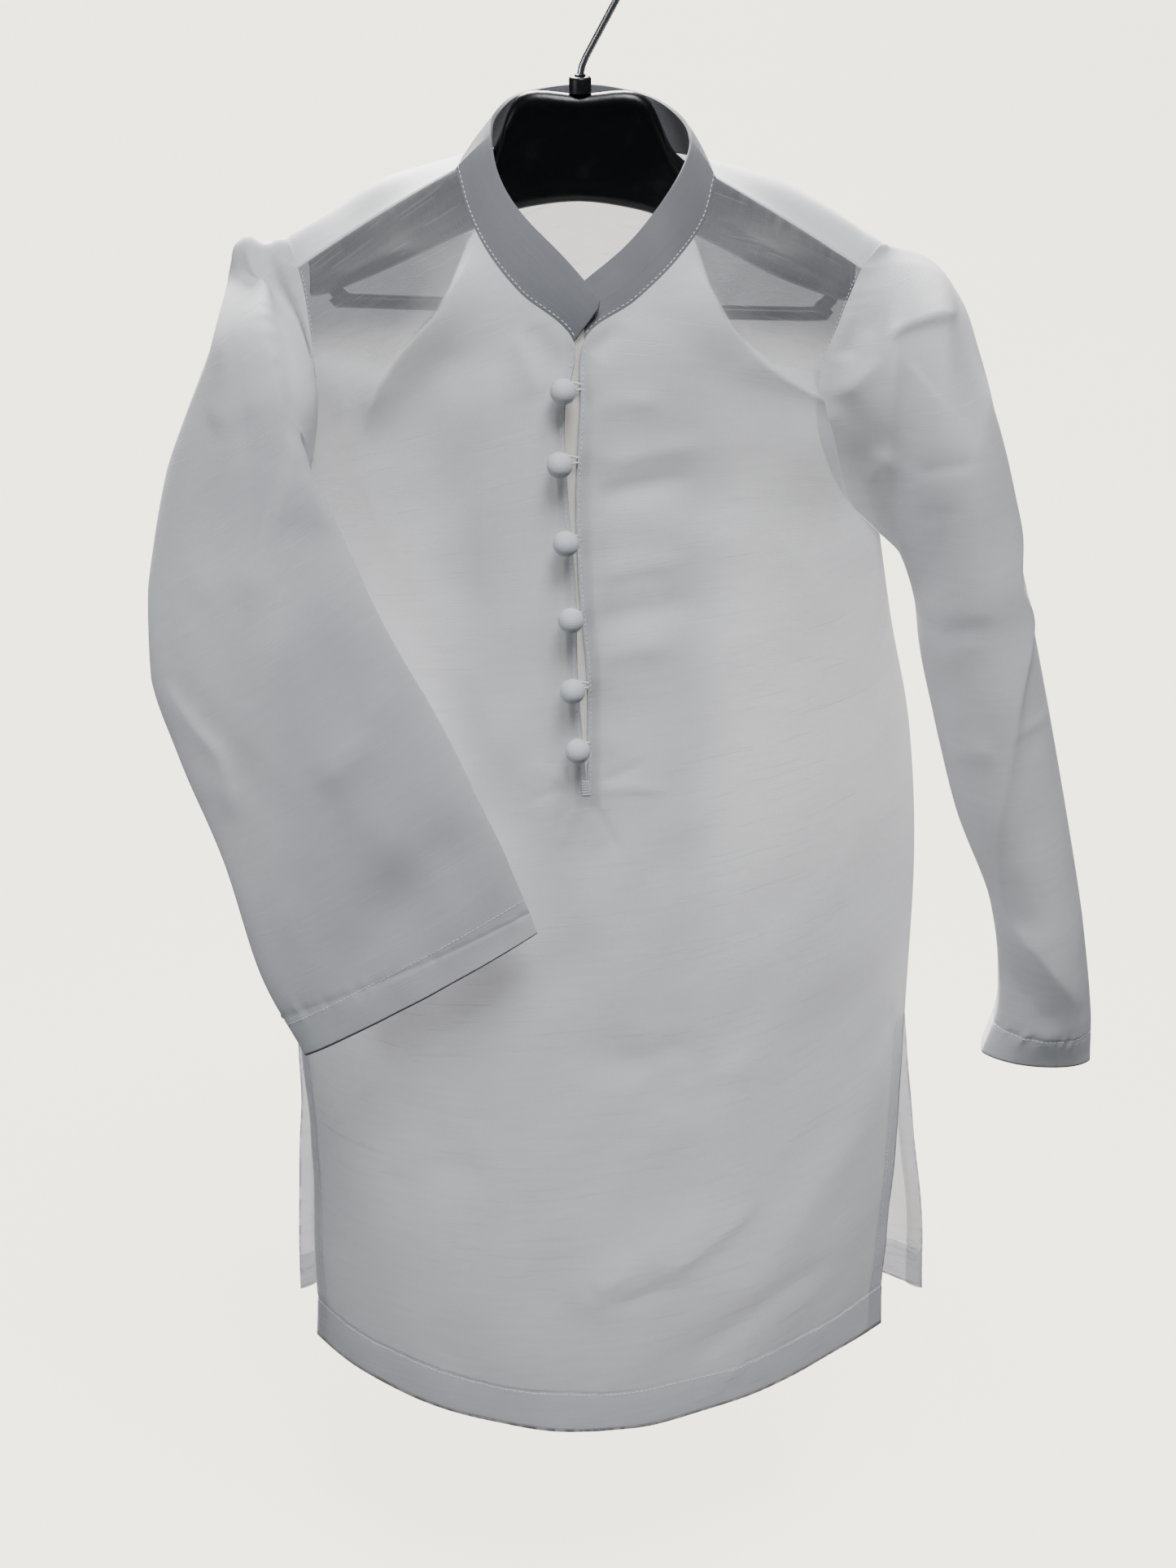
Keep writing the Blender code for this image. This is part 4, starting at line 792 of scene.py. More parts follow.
# %% [markdown]
# ## Front and back
#
# Each half of a panel is a grid whose rows bend from the centre over a knee to the outer
# edge. Columns are closer together at the slit and the vents, where the cloth is turned in
# and sewn, and rows are closer at the shoulder seam and the hem, for the same reason. The
# drawn folds are raised along the outward normals and die away before a seam, so that two
# panels still meet there.

# %% Half a panel
STOPS = np.concatenate([[0], np.cumsum(PANEL_STEPS)])
LAST_STOP = int(STOPS[-1])
HEM_DEPTH = 2.7
HEM_STEP = 2.36   # cm from one row to the next at the hem
SEAM_ROWS = (0.06, 0.12, 0.19)
STITCH_ROWS = tuple(LAST_STOP - HEM_DEPTH / HEM_STEP + k for k in (-0.10, -0.05, 0.0, 0.05, 0.10))
EVEN_ROWS = np.arange(LAST_STOP * FINE + 1) / FINE
ROWS = np.unique(np.round(np.concatenate([EVEN_ROWS, SEAM_ROWS, STITCH_ROWS]), 4))
COLUMNS = np.unique(np.concatenate([np.linspace(0, 1, 121), [0.004]]))


def row_of(table_row):
    """Row of the fine grid on a row of the tables."""
    return int(np.searchsorted(ROWS, STOPS[table_row] - 1e-6))


def half_panel(centre, edge_rows, soft_folds, folds, outward, seed):
    """Half a panel in centimetres, its normals and its flat places."""
    rows = np.asarray(edge_rows)
    places = np.interp(ROWS, STOPS, np.arange(len(STOPS)))
    inner = curve_at(centre, places)[:, None]
    knee = curve_at(rows[:, :3], places)[:, None]
    edge = curve_at(rows[:, 3:], places, (UNDERARM_ROW, VENT_ROW))[:, None]
    t = COLUMNS[None, :, None]
    grid = inner * (1 - t) ** 2 + knee * 2 * t * (1 - t) + edge * t ** 2
    flat = grid[..., [0, 2]].copy()
    down = np.minimum(1, ROWS / 6)[:, None]
    across = np.minimum(1, (1 - COLUMNS) * 11 / 4)[None]
    for from_x, from_z, to_x, to_z, height, width in soft_folds:
        start = np.array([from_x, from_z])
        line = np.array([to_x, to_z]) - start
        share = np.clip((flat - start) @ line / (line @ line), 0, 1)
        off = np.linalg.norm(flat - start - share[..., None] * line, axis=-1)
        grid[..., 1] += outward * height * np.exp(-(off / width) ** 2) * down * across
    open_side = smooth((ROWS - STOPS[VENT_ROW]) / 3)[:, None]
    fade = smooth(ROWS / 1.6)[:, None] * np.maximum(smooth((1 - COLUMNS) / 0.12)[None], open_side)
    normal = normals_of(grid, (0, outward, 0))
    add_folds(grid, flat, normal, folds, 1.6 * fade)
    grid += normal * (0.07 * waves(flat, seed, 3.5, 13.0) * fade)[..., None]
    return grid


def flat_places(left, right):
    """Flat places in centimetres of two halves, with the weft rising a little to the right."""
    halves = []
    down = (arc(left).mean(axis=1) + arc(right).mean(axis=1)) / 2
    for half, sign in ((left, -1), (right, 1)):
        side = sign * arc(half, axis=1)
        halves.append(np.stack([side, down[:, None] + 0.13 * side], axis=-1))
    return halves


front_table = np.asarray(FRONT_CENTRE)
back_table = np.asarray(BACK_CENTRE)
front_left = half_panel(front_table[:, :3], FRONT_LEFT, SOFT_FRONT, FRONT_FOLDS, -1, 3)
front_right = half_panel(front_table[:, 3:], FRONT_RIGHT, SOFT_FRONT, FRONT_FOLDS, -1, 3)
back_left = half_panel(back_table[:, :3], BACK_LEFT, SOFT_BACK, BACK_FOLDS, 1, 8)
back_right = half_panel(back_table[:, 3:], BACK_RIGHT, SOFT_BACK, BACK_FOLDS, 1, 8)
print("points across half a panel:", len(COLUMNS), "and down it:", len(ROWS))

# %% [markdown]
# ## Stitches
#
# A row of machine stitches is a row of short thread capsules with gaps between them. Small
# dents in a bump map vanish from near by, so each stitch is a little solid. One is modelled,
# and its points are repeated along every seam that is sewn through.

# %% One stitch, and rows of it
bpy.ops.mesh.primitive_cylinder_add(vertices=6, radius=0.5, depth=0.72, rotation=(0, math.pi / 2, 0))
capsule = bpy.context.active_object
bpy.ops.object.mode_set(mode="EDIT")
bpy.ops.mesh.select_all(action="DESELECT")
work = bmesh.from_edit_mesh(capsule.data)
for face in work.faces:
    face.select = len(face.verts) == 6
bmesh.update_edit_mesh(capsule.data)
bpy.ops.mesh.inset(thickness=0.28, depth=0.14)
bpy.ops.object.mode_set(mode="OBJECT")
bpy.ops.object.transform_apply(rotation=True)
STITCH_POINTS = np.array([v.co[:] for v in capsule.data.vertices])
STITCH_FACES = [tuple(face.vertices) for face in capsule.data.polygons]
bpy.data.objects.remove(capsule)
sewn = []


def sew(line, normal, pitch=0.25, length=0.17, thickness=0.045, lift=0.0):
    """Keep a row of stitches along a line of points, in centimetres."""
    run = arc(line)
    middles = np.arange(pitch, run[-1] - pitch / 2, pitch)
    rng = np.random.default_rng(len(line))
    middles = middles + rng.normal(0, 0.012, len(middles))
    spots = np.stack([np.interp(middles, run, line[:, k]) for k in range(3)], axis=1)
    ahead = np.stack([np.interp(middles + 0.08, run, line[:, k]) for k in range(3)], axis=1)
    up = unit(np.stack([np.interp(middles, run, normal[:, k]) for k in range(3)], axis=1))
    along = unit(ahead - spots)
    side = unit(np.cross(up, along))
    shape = STITCH_POINTS * (length, thickness, thickness)
    placed = (shape[None, :, :1] * along[:, None] + shape[None, :, 1:2] * side[:, None]
              + shape[None, :, 2:] * up[:, None])
    sewn.append(placed + (spots + up * lift)[:, None])


def row_between(grid, normal, axis, distance):
    """Line on a grid, and its normals, at a distance from the first row or column."""
    run = arc(grid, axis=axis)
    grid, normal, run = (np.moveaxis(a, axis, 0) for a in (grid, normal, run))
    return tuple(np.array([[np.interp(distance, run[:, j], values[:, j, k]) for k in range(3)]
                           for j in range(run.shape[1])]) for values in (grid, normal))


print("faces in one stitch:", len(STITCH_FACES))

# %% Puckers along the sewn rows
VENT_DEPTH = 1.0


def pucker_hem(grid, outward, seed):
    """Gather a panel's hem along its row of stitches."""
    normal = normals_of(grid, (0, outward, 0))
    up_from_hem = arc(grid[::-1])[::-1]
    side = arc(grid, axis=1)
    near = np.exp(-((up_from_hem - HEM_DEPTH) / 0.55) ** 2)
    groove = np.exp(-((up_from_hem - HEM_DEPTH) / 0.12) ** 2)
    grid += normal * (0.030 * near * puckers(side, seed) - 0.045 * groove)[..., None]


def raise_seam(grid, outward, strength):
    """Soft ridge of the seam allowance beside the shoulder seam."""
    normal = normals_of(grid, (0, outward, 0.4))
    below = arc(grid)
    side = arc(grid, axis=1)
    ridge = below / 0.25 * np.exp(1 - below / 0.25)
    ends = smooth(COLUMNS / 0.08) * smooth((1 - COLUMNS) / 0.08)
    uneven = 1 + 0.5 * puckers(side, 5, 0.4, 1.2)
    grid += normal * (strength * ridge * uneven * ends)[..., None] * (below < 3)[..., None]


HALVES = ((front_left, -1), (front_right, -1), (back_left, 1), (back_right, 1))
for seed, (half, outward) in enumerate(HALVES, 21):
    pucker_hem(half, outward, seed)
raise_seam(front_left, -1, 0.035)
raise_seam(front_right, -1, 0.05)
for half in (front_left, front_right):
    half[row_of(NECK_ROW) + 2:row_of(SLIT_ROW), 2, 1] += 0.04
SEAM_GROOVE = 0.05
sunk = row_of(UNDERARM_ROW)
for half, outward in HALVES:
    half[0, 1:-1, 2] -= SEAM_GROOVE
    half[1:sunk, -1, 1] -= SEAM_GROOVE * outward * smooth(ROWS[1:sunk] / 1.5)
for pair in ((front_left, front_right), (back_left, back_right)):
    first = row_of(SLIT_ROW if pair[0] is front_left else BACK_NECK_ROW)
    middle = (pair[0][first:, 0] + pair[1][first:, 0]) / 2
    pair[0][first:, 0] = middle
    pair[1][first:, 0] = middle
print("hem turned up by", HEM_DEPTH, "cm")

# %% [markdown]
# ## Where the hanger shows through
#
# The cloth is sheer. Over the shoulders it lies on the black hanger, which shows through it
# with crisp edges, but not between the two folds that fall from the neck, where it stands
# off. There the hanger is partly seen through the cloth and partly painted shade, for where a
# point shows much of what is behind, the cloth's colour is darkened too. Lower down only a
# soft shade is left in the middle, while the sides and the skirt are lit through from behind.
# These places could be painted on by hand, but formulas are easier to change, so they work
# out from where each point lies how far it shows what is behind it, and how far it glows.

# %% How sheer each part looks
LEFT_FOLD = (
    # down, x
    (-3.5, -3.0), (-1.8, -4.0), (-0.7, -5.0), (1.0, -5.8), (2.2, -6.6), (3.8, -8.2), (6.3, -9.9),
)
RIGHT_FOLD = (
    # down, x
    (-3.5, 3.5), (-1.5, 4.6), (-0.5, 5.2), (1.0, 5.8), (3.0, 7.1), (4.6, 8.8), (7.1, 12.0),
)


def side_of(x, z):
    """1 where a point is beside the middle of the chest, 0 in the middle and at the shoulders."""
    return smooth((np.abs(x) - 4.8) / 3.6) * smooth((-z - 4) / 4) * (1 - 0.8 * smooth((-z - 24) / 14))


def sheer_of(grid):
    """How far the front shows what is behind: least between the folds that fall from the neck."""
    x, z = grid[..., 0], grid[..., 2]
    left_fold = np.interp(-z, *np.transpose(LEFT_FOLD))
    right_fold = np.interp(-z, *np.transpose(RIGHT_FOLD))
    outside = np.maximum(smooth((left_fold - x) / 0.4), smooth((x - right_fold) / 0.4))
    yoke = outside * smooth((z + 8) / 5)
    side = side_of(x, z)
    above_skirt = 1 - smooth((-z - 42) / 10)
    # past 0.55 this share also paints shade into the cloth's colour, over the hanger at the yoke
    share = (0.04 + 0.14 * smooth((-z - 5) / 5) + 0.30 * side) * above_skirt + 0.95 * yoke * (1 - side)
    beside_slit = np.exp(-(x / 1.6) ** 4) * smooth((z + 30) / 2)
    return share * (1 - 0.9 * beside_slit)


def glow_of(grid):
    """How far light from behind comes through the front: more at the sides and low down."""
    x, z = grid[..., 0], grid[..., 2]
    in_hem = smooth((HEM_DEPTH + 0.1 - arc(grid[::-1])[::-1]) / 0.2)
    return 1 + 1.2 * side_of(x, z) + 0.9 * smooth((-z - 40) / 14) + 1.2 * in_hem


def back_looks(grid):
    """How far the back shows what is behind, and how far it glows: least over the hanger's arms."""
    x, z = grid[..., 0], grid[..., 2]
    over_arms = smooth((z + 7.5) / 2.5) * smooth((np.abs(x) - 4.6) / 1.6)
    skirt = smooth((-z - 42) / 6)
    return 0.4 - 0.36 * over_arms - 0.15 * skirt, 1 - 0.9 * over_arms


print("sheer at most:", round(float(sheer_of(front_right).max()), 2), "in front,",
      round(float(back_looks(back_right)[0].max()), 2), "behind")

# %% Front and back panels
# The turned-in layers, which light from behind reaches first
INNER_SHEER = 0.5
INNER_GLOW = 4.0


def build_panel(name, left, right, outward, slit_rows, vent_rows):
    """A panel with its hem, vents and slit turned in."""
    piece = Cloth(name)
    left_flat, right_flat = flat_places(left, right)
    hem_rows = int(np.sum(arc(left[::-1]).mean(axis=1) < HEM_DEPTH + 0.25))
    for half, flat, flip in ((left, left_flat, outward > 0), (right, right_flat, outward < 0)):
        normal = normals_of(half, (0, outward, 0))
        sheer, glow = (sheer_of(half), glow_of(half)) if outward < 0 else back_looks(half)
        piece.add(half, flat, sheer, flip, glow)
        hem = slice(None, -hem_rows - 1, -1)
        piece.add(turned_in(half[hem], normal[hem]), flat[hem], INNER_SHEER, flip, INNER_GLOW)
        vents = slice(vent_rows, None)
        width = int(np.sum(arc(half[-1:, ::-1], axis=1) < VENT_DEPTH + 0.05)) + 1
        edge = np.swapaxes(half[vents, :-width - 1:-1], 0, 1)
        edge_normal = np.swapaxes(normal[vents, :-width - 1:-1], 0, 1)
        edge_flat = np.swapaxes(flat[vents, :-width - 1:-1], 0, 1)
        piece.add(turned_in(edge, edge_normal, 0.12), edge_flat, INNER_SHEER, not flip, INNER_GLOW)
        if slit_rows is not None:
            edge = np.swapaxes(half[slit_rows, :4], 0, 1)
            edge_normal = np.swapaxes(normal[slit_rows, :4], 0, 1)
            edge_flat = np.swapaxes(flat[slit_rows, :4], 0, 1)
            piece.add(turned_in(edge, edge_normal, 0.07), edge_flat, INNER_SHEER, flip)
        hem_line, hem_up = row_between(half[::-1], normal[::-1], 0, HEM_DEPTH - 0.12)
        sew(hem_line, hem_up, lift=0.004)
        vent_line, vent_up = row_between(half[vents, ::-1], normal[vents, ::-1], 1, VENT_DEPTH - 0.1)
        sew(vent_line[:-hem_rows], vent_up[:-hem_rows], lift=0.004)
        arm_rows = slice(0, row_of(UNDERARM_ROW))
        arm_line, arm_up = row_between(half[arm_rows, ::-1], normal[arm_rows, ::-1], 1, 0.13)
        sew(arm_line[4:], arm_up[4:], pitch=0.22, length=0.11, thickness=0.03)
        if slit_rows is not None:
            slit_line, slit_up = row_between(half[slit_rows], normal[slit_rows], 1, 0.2)
            sew(slit_line[2:], slit_up[2:], lift=0.006)
    return piece.build(white_cloth)


slit = slice(row_of(NECK_ROW), row_of(SLIT_ROW) + 1)
front = build_panel("front_cloth", front_left, front_right, -1, slit, row_of(VENT_ROW))
back = build_panel("back_cloth", back_left, back_right, 1, None, row_of(VENT_ROW))
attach(front, "root")
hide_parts("front", "front_skirt")
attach(back, "root")
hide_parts("back", "back_skirt")

# %% [markdown]
# ## Sleeves
#
# A sleeve starts from the points of its armhole, so that it is sewn in without a gap, and
# runs through its sections to the cuff. Its cap stands up a little at the shoulder and is
# smoothed there. The cap at the wearer's right was pressed flat, so its outer side is drawn in
# to a line. Where a sleeve would sink into the body it is pushed just clear of it, as the
# real sleeve lies on the front. The push is softened with its neighbours, because cloth can't
# follow a corner. The weave runs along the sleeve's own weft, which turns as the arm bends.

# %% Sleeve tools
CAP_RISE = (0.0, 0.75, 1.0, 0.5, 0.15, 0.0, 0.0)   # share of the cap's rise at each row from the armhole
ROW_FINE = 10
CUFF_DEPTH = 2.0


def spread(values, rounds):
    """Blur a grid of numbers that closes on itself sideways."""
    for _ in range(rounds):
        padded = np.vstack([values[:1], values, values[-1:]])
        values = (padded[:-2] + padded[2:] + np.roll(values, 1, axis=1) + np.roll(values, -1, axis=1)
                  + 2 * values) / 6
    return values


def half_trees(halves):
    """Search trees of the outer faces of panels, with outward normals."""
    trees = []
    for left, right, outward in halves:
        for half in (left, right):
            rows, columns = half.shape[:2]
            ids = np.arange(rows * columns).reshape(rows, columns)
            quads = np.stack([ids[:-1, :-1], ids[1:, :-1], ids[1:, 1:], ids[:-1, 1:]], axis=-1).reshape(-1, 4)
            corners = half.reshape(-1, 3)[quads[:, :3]]
            facing = np.cross(corners[:, 1] - corners[:, 0], corners[:, 2] - corners[:, 0])[:, 1].sum()
            if facing * outward < 0:
                quads = quads[:, ::-1]
            trees.append(BVHTree.FromPolygons(half.reshape(-1, 3).tolist(), quads.tolist()))
    return trees


def push_clear(grid, trees, clearance):
    """Move what sinks into the body out of it, with a soft border."""
    rows, around = grid.shape[:2]
    moves = np.zeros((rows, around, 3))
    for tree in trees:
        for i in range(1, rows):
            for j in range(around):
                spot, normal, _, distance = tree.find_nearest(grid[i, j], 2.5)
                if spot is None:
                    continue
                height = float(np.dot(grid[i, j] - spot, normal))
                if abs(height) > 0.8 * distance and height < clearance[i]:
                    moves[i, j] += np.array(normal) * (clearance[i] - height)
        grid += moves
        soft = np.stack([spread(moves[..., k], 40) for k in range(3)], axis=-1)
        grid += np.where(np.abs(moves).sum(axis=-1, keepdims=True) > 0, 0, soft)
        moves[:] = 0


# %% Sleeve grids
def sleeve_grid(front_edge, back_edge, table, cap, underarm):
    """Points of a sleeve in centimetres, from the armhole's own points to the cuff."""
    armhole = np.vstack([front_edge, back_edge[-2:0:-1]])
    under = len(front_edge) - 1
    stops = np.concatenate([[0], np.cumsum(SLEEVE_STEPS)])
    rows = np.linspace(0, stops[-1], stops[-1] * ROW_FINE + 1)
    station = np.interp(rows, stops, np.arange(len(stops)))
    table = np.asarray(table)
    start = np.concatenate([armhole[0], armhole[under], table[0, 6:9], [0.0]])
    control = curve_at(np.vstack([start, table]), station)
    outer, inner = control[:, :3], control[:, 3:6]
    lift_front, lift_back, lean, turn = (control[:, k, None] for k in range(6, 10))
    middle = (outer + inner) / 2
    forward = unit(np.cross(inner - outer, np.gradient(middle, axis=0)))
    forward *= -np.sign(forward[:, 1:2])
    round_rows = 2 * STOPS[UNDERARM_ROW]
    even = np.concatenate([ROWS[:under + 1] / round_rows, 1 - ROWS[under - 1:0:-1] / round_rows])
    angle = 2 * math.pi * even
    turned = angle + turn * (1 - np.cos(angle)) / 2
    across = np.cos(turned)[..., None]
    pressed = 1 + 0.35 * smooth((station - 0.7) / 1.5)[:, None]
    lift = np.sign(np.sin(turned)) * np.abs(np.sin(turned)) ** pressed
    lift *= np.where(lift > 0, lift_front, lift_back) * (1 + lean * np.cos(turned))
    grid = middle[:, None] + (outer - inner)[:, None] / 2 * across + forward[:, None] * lift[..., None]
    fade = np.clip(1 - station / 2.4, 0, 1) ** 2
    grid += (armhole - grid[0]) * fade[:, None, None]
    rise = curve_at(np.array(CAP_RISE)[:, None], np.minimum(rows, 6.0))[:, 0]
    from_seam = (even * round_rows + round_rows / 2) % round_rows - round_rows / 2
    off_top = (from_seam + 2 + round_rows / 2) % round_rows - round_rows / 2
    grid[..., 2] += cap * rise[:, None] * np.exp(-off_top ** 2 / 10)
    run = arc(grid).mean(axis=1)[:, None]
    near_top = np.exp(-from_seam ** 2 / 4) * smooth(run / 0.8) * smooth((12 - run) / 6)
    rounded = np.stack([spread(grid[..., k], 70) for k in range(3)], axis=-1)
    grid += (rounded - grid) * near_top[..., None]
    if underarm is not None:
        heights, limits = np.transpose(SHOULDER_EDGE)
        beyond = np.interp(grid[..., 2], heights, limits) - grid[..., 0]
        grid[..., 0] += 0.85 * np.maximum(0, beyond) * smooth(run / 1.2)
        line = curve_at(underarm, station)
        near = np.clip(-np.cos(angle), 0, 1) ** 4.5
        move = (line[:, :3] - grid[:, under]) * np.clip(line[:, 3:], 0, 1)
        grid += move[:, None] * near[:, None]
    return grid


# %% Folds and sewn rows of a sleeve
def fold_sleeve(grid, front_folds, back_folds, seed):
    """Raise drawn folds on the front and the back of a sleeve, and low waves all round."""
    normal = normals_of(grid, grid - grid.mean(axis=1, keepdims=True), closed=True)
    flat = grid[..., [0, 2]].copy()
    run = arc(grid).mean(axis=1)
    ease = smooth(run / 2.0)[:, None]
    facing = -normal[..., 1] + 0.75 * normal[..., 2] * smooth((9 - run) / 5)[:, None]
    in_front = smooth((facing - 0.05) / 0.35) * smooth(run / 0.6)[:, None]
    behind = smooth((normal[..., 1] - 0.05) / 0.35) * ease
    add_folds(grid, flat, normal, front_folds, 1.4 * in_front)
    add_folds(grid, flat, normal, back_folds, 1.4 * behind)
    for k in range(3):
        grid[4:-4, :, k] = spread(grid[..., k], 1)[4:-4]
    side = arc(grid, axis=1)
    place = np.stack([side, np.broadcast_to(run[:, None], side.shape)], axis=-1)
    around = side[:, -1:] + 0.15
    under = grid.shape[1] // 2
    from_under = np.abs(side - side[:, under:under + 1])
    close = smooth(side / 2.0) * smooth((around - side) / 2.0) * smooth(from_under / 1.6)
    grid += normal * (0.03 * waves(place, seed, 3.4, 11.0) * close * ease)[..., None]
    near_cap = run[:, None] / 0.35 * np.exp(1 - run[:, None] / 0.35)
    grid += normal * (0.03 * near_cap * (1 + 0.9 * puckers(side, seed + 1, 0.7, 1.8)) * close)[..., None]
    from_cuff = run[-1] - run[:, None]
    row = np.exp(-((from_cuff - CUFF_DEPTH) / 0.5) ** 2)
    groove = np.exp(-((from_cuff - CUFF_DEPTH) / 0.14) ** 2)
    grid += normal * (0.045 * row * puckers(side, seed + 2, 0.45, 1.5) * close - 0.03 * groove)[..., None]


# %% Both sleeves
arm = slice(0, row_of(UNDERARM_ROW) + 1)
body_trees = half_trees(((front_left, front_right, -1), (back_left, back_right, 1)))


def build_sleeve(name, front_half, back_half, table, cap, underarm, front_folds, back_folds, seed, weft):
    """A sleeve with its cuff turned in and sewn, its weave laid along the weft's direction."""
    grid = sleeve_grid(front_half[arm, -1], back_half[arm, -1], table, cap, underarm)
    fold_sleeve(grid, front_folds, back_folds, seed)
    run = arc(grid).mean(axis=1)
    push_clear(grid, body_trees, np.minimum(0.10, 0.02 + 0.10 * run))
    under = len(front_half[arm]) - 1
    grid = np.roll(grid, -under, axis=1)
    grid = np.concatenate([grid, grid[:, :1]], axis=1)
    normal = normals_of(grid[:, :-1], grid[:, :-1] - grid[:, :-1].mean(axis=1, keepdims=True), closed=True)
    normal = np.concatenate([normal, normal[:, :1]], axis=1)
    side = arc(grid, axis=1)
    along, down = grid[..., [0, 2]] @ weft, grid[..., [0, 2]] @ (weft[1], -weft[0])
    flat = np.stack([along, down], axis=-1)
    piece = Cloth(name)
    ring = grid[40, :-1]
    middle = ring.mean(axis=0)
    turn = np.cross(ring[60] - middle, ring[61] - middle)
    flip = bool(turn @ (grid[60, :-1].mean(axis=0) - middle) > 0)
    from_cuff = (run[-1] - run)[:, None]
    in_cuff = smooth((CUFF_DEPTH + 0.1 - from_cuff) / 0.2)
    piece.add(grid, flat, 0.15 * smooth((from_cuff - 5) / 5), flip, 1 - 0.7 * in_cuff)
    rows = int(np.sum(run[-1] - run < CUFF_DEPTH + 0.3))
    cuff = slice(None, -rows - 1, -1)
    piece.add(turned_in(grid[cuff], normal[cuff]), flat[cuff], 0.0, flip)
    line, up = row_between(grid[::-1], normal[::-1], 0, CUFF_DEPTH)
    sew(line, up, lift=0.002)
    made = piece.build(white_cloth)
    print(f"{name}: {run[-1]:.1f} cm long, cuff {side[-1, -1]:.1f} cm round")
    return made


sleeve_right = build_sleeve(
    "sleeve_right_cloth", front_left, back_left, SLEEVE_RIGHT, 0.8, UNDERARM_RIGHT,
    RIGHT_SLEEVE_FRONT, RIGHT_SLEEVE_BACK, 41, (0.815, 0.579))
sleeve_left = build_sleeve(
    "sleeve_left_cloth", front_right, back_right, SLEEVE_LEFT, 0.5, None,
    LEFT_SLEEVE_FRONT, LEFT_SLEEVE_BACK, 52, (0.985, 0.174))
for made, node in ((sleeve_right, "sleeve_right"), (sleeve_left, "sleeve_left")):
    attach(made, "root")
    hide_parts(node, node + "_forearm")

# %% [markdown]
# ## Collar
#
# The stand collar is two layers with stiffening between them, so it has a real thickness and
# holds its curve. Its lower edge is the neckline, point for point. The end that laps over in
# front is cut at a slant with a rounded tip. Solidify gives the band its thickness inwards,
# and Bevel rounds its edges as turned cloth is round.

# %% Collar
COLLAR_THICK = 0.18
COLLAR_TIP = 0.35
COLLAR_HEIGHT = 3.2
COLLAR_ROWS = 15


def collar_grid():
    """The collar's outer face, from the neckline up to the rim."""
    neck = row_of(NECK_ROW)
    nape = row_of(BACK_NECK_ROW)
    base = np.vstack([front_left[neck::-1, 0], back_left[1:nape + 1, 0], back_right[nape - 1::-1, 0],
                      front_right[1:neck + 1, 0]])
    table_rows = np.interp(ROWS, STOPS, np.arange(len(STOPS)))
    place = np.concatenate([4 - table_rows[neck::-1], 4 + table_rows[1:nape + 1],
                            10 - table_rows[nape - 1::-1], 10 + table_rows[1:neck + 1]])
    rim = curve_at(COLLAR_RIM, place)
    length = arc(rim)
    heights = np.linspace(0, 1, COLLAR_ROWS)[:, None]
    tall = np.linalg.norm(rim - base, axis=1)
    start = np.clip(COLLAR_TIP - length, 0, COLLAR_TIP)
    cut = (COLLAR_TIP - np.sqrt(COLLAR_TIP ** 2 - start ** 2)) / tall
    heights = heights * (1 - cut)[None]
    grid = base * (1 - heights[..., None]) + rim * heights[..., None]
    centre = base.copy()
    centre[:, :2] = (0.3, -0.5)
    outward = unit((base - centre) * (1, 1, 0))
    crown = 0.07 * np.sin(math.pi * heights) + 0.012 * waves(np.stack([
        np.broadcast_to(length, heights.shape), heights * 3], axis=-1), 77, 2.5, 8.0) * heights
    grid += outward * crown[..., None]
    return grid, outward, length


# %% The collar's two layers
collar_points, collar_out, collar_run = collar_grid()
collar_side = np.broadcast_to(collar_run - collar_run[-1] / 2, collar_points.shape[:2])
collar_down = np.broadcast_to(COLLAR_HEIGHT * np.linspace(1, 0, COLLAR_ROWS)[:, None], collar_side.shape)
collar_flat = np.stack([collar_side, collar_down], axis=-1)
collar_piece = Cloth("collar_cloth")
collar_piece.add(collar_points, collar_flat)
collar = collar_piece.build(collar_cloth)
work = bmesh.new()
work.from_mesh(collar.data)
middle = Vector((0.003, -0.005, -0.12))
outward_sum = sum((face.calc_center_median() - middle).dot(face.normal) for face in work.faces)
if outward_sum < 0:
    bmesh.ops.reverse_faces(work, faces=work.faces)
work.to_mesh(collar.data)
work.free()
bpy.context.view_layer.objects.active = collar
thick = collar.modifiers.new("two layers", "SOLIDIFY")
thick.thickness = COLLAR_THICK * CM
thick.offset = -1
bpy.ops.object.modifier_apply(modifier=thick.name)
bevel = collar.modifiers.new("turned edges", "BEVEL")
bevel.width = 0.05 * CM
bevel.segments = 3
bevel.limit_method = "ANGLE"
bevel.angle_limit = math.radians(50)
bpy.ops.object.modifier_apply(modifier=bevel.name)
collar.data.shade_smooth()
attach(collar, "root")
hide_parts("collar")
collar_normal = np.broadcast_to(collar_out, collar_points.shape)
collar_line, collar_up = row_between(collar_points, collar_normal, 0, 0.16)
sew(collar_line, collar_up, pitch=0.26, lift=0.006)
print("collar band:", round(float(collar_run[-1]), 1), "cm round the rim")

# %% [markdown]
# ## Underlap
#
# Behind the slit lies a narrow cream strip that closes the gap between its two edges. It
# could be a flat ribbon, but then it would come through the folds beside the slit, so it is
# made from the panel's own points there, moved 2 mm inwards.

# %% Underlap
STRIP_BEHIND = 0.2


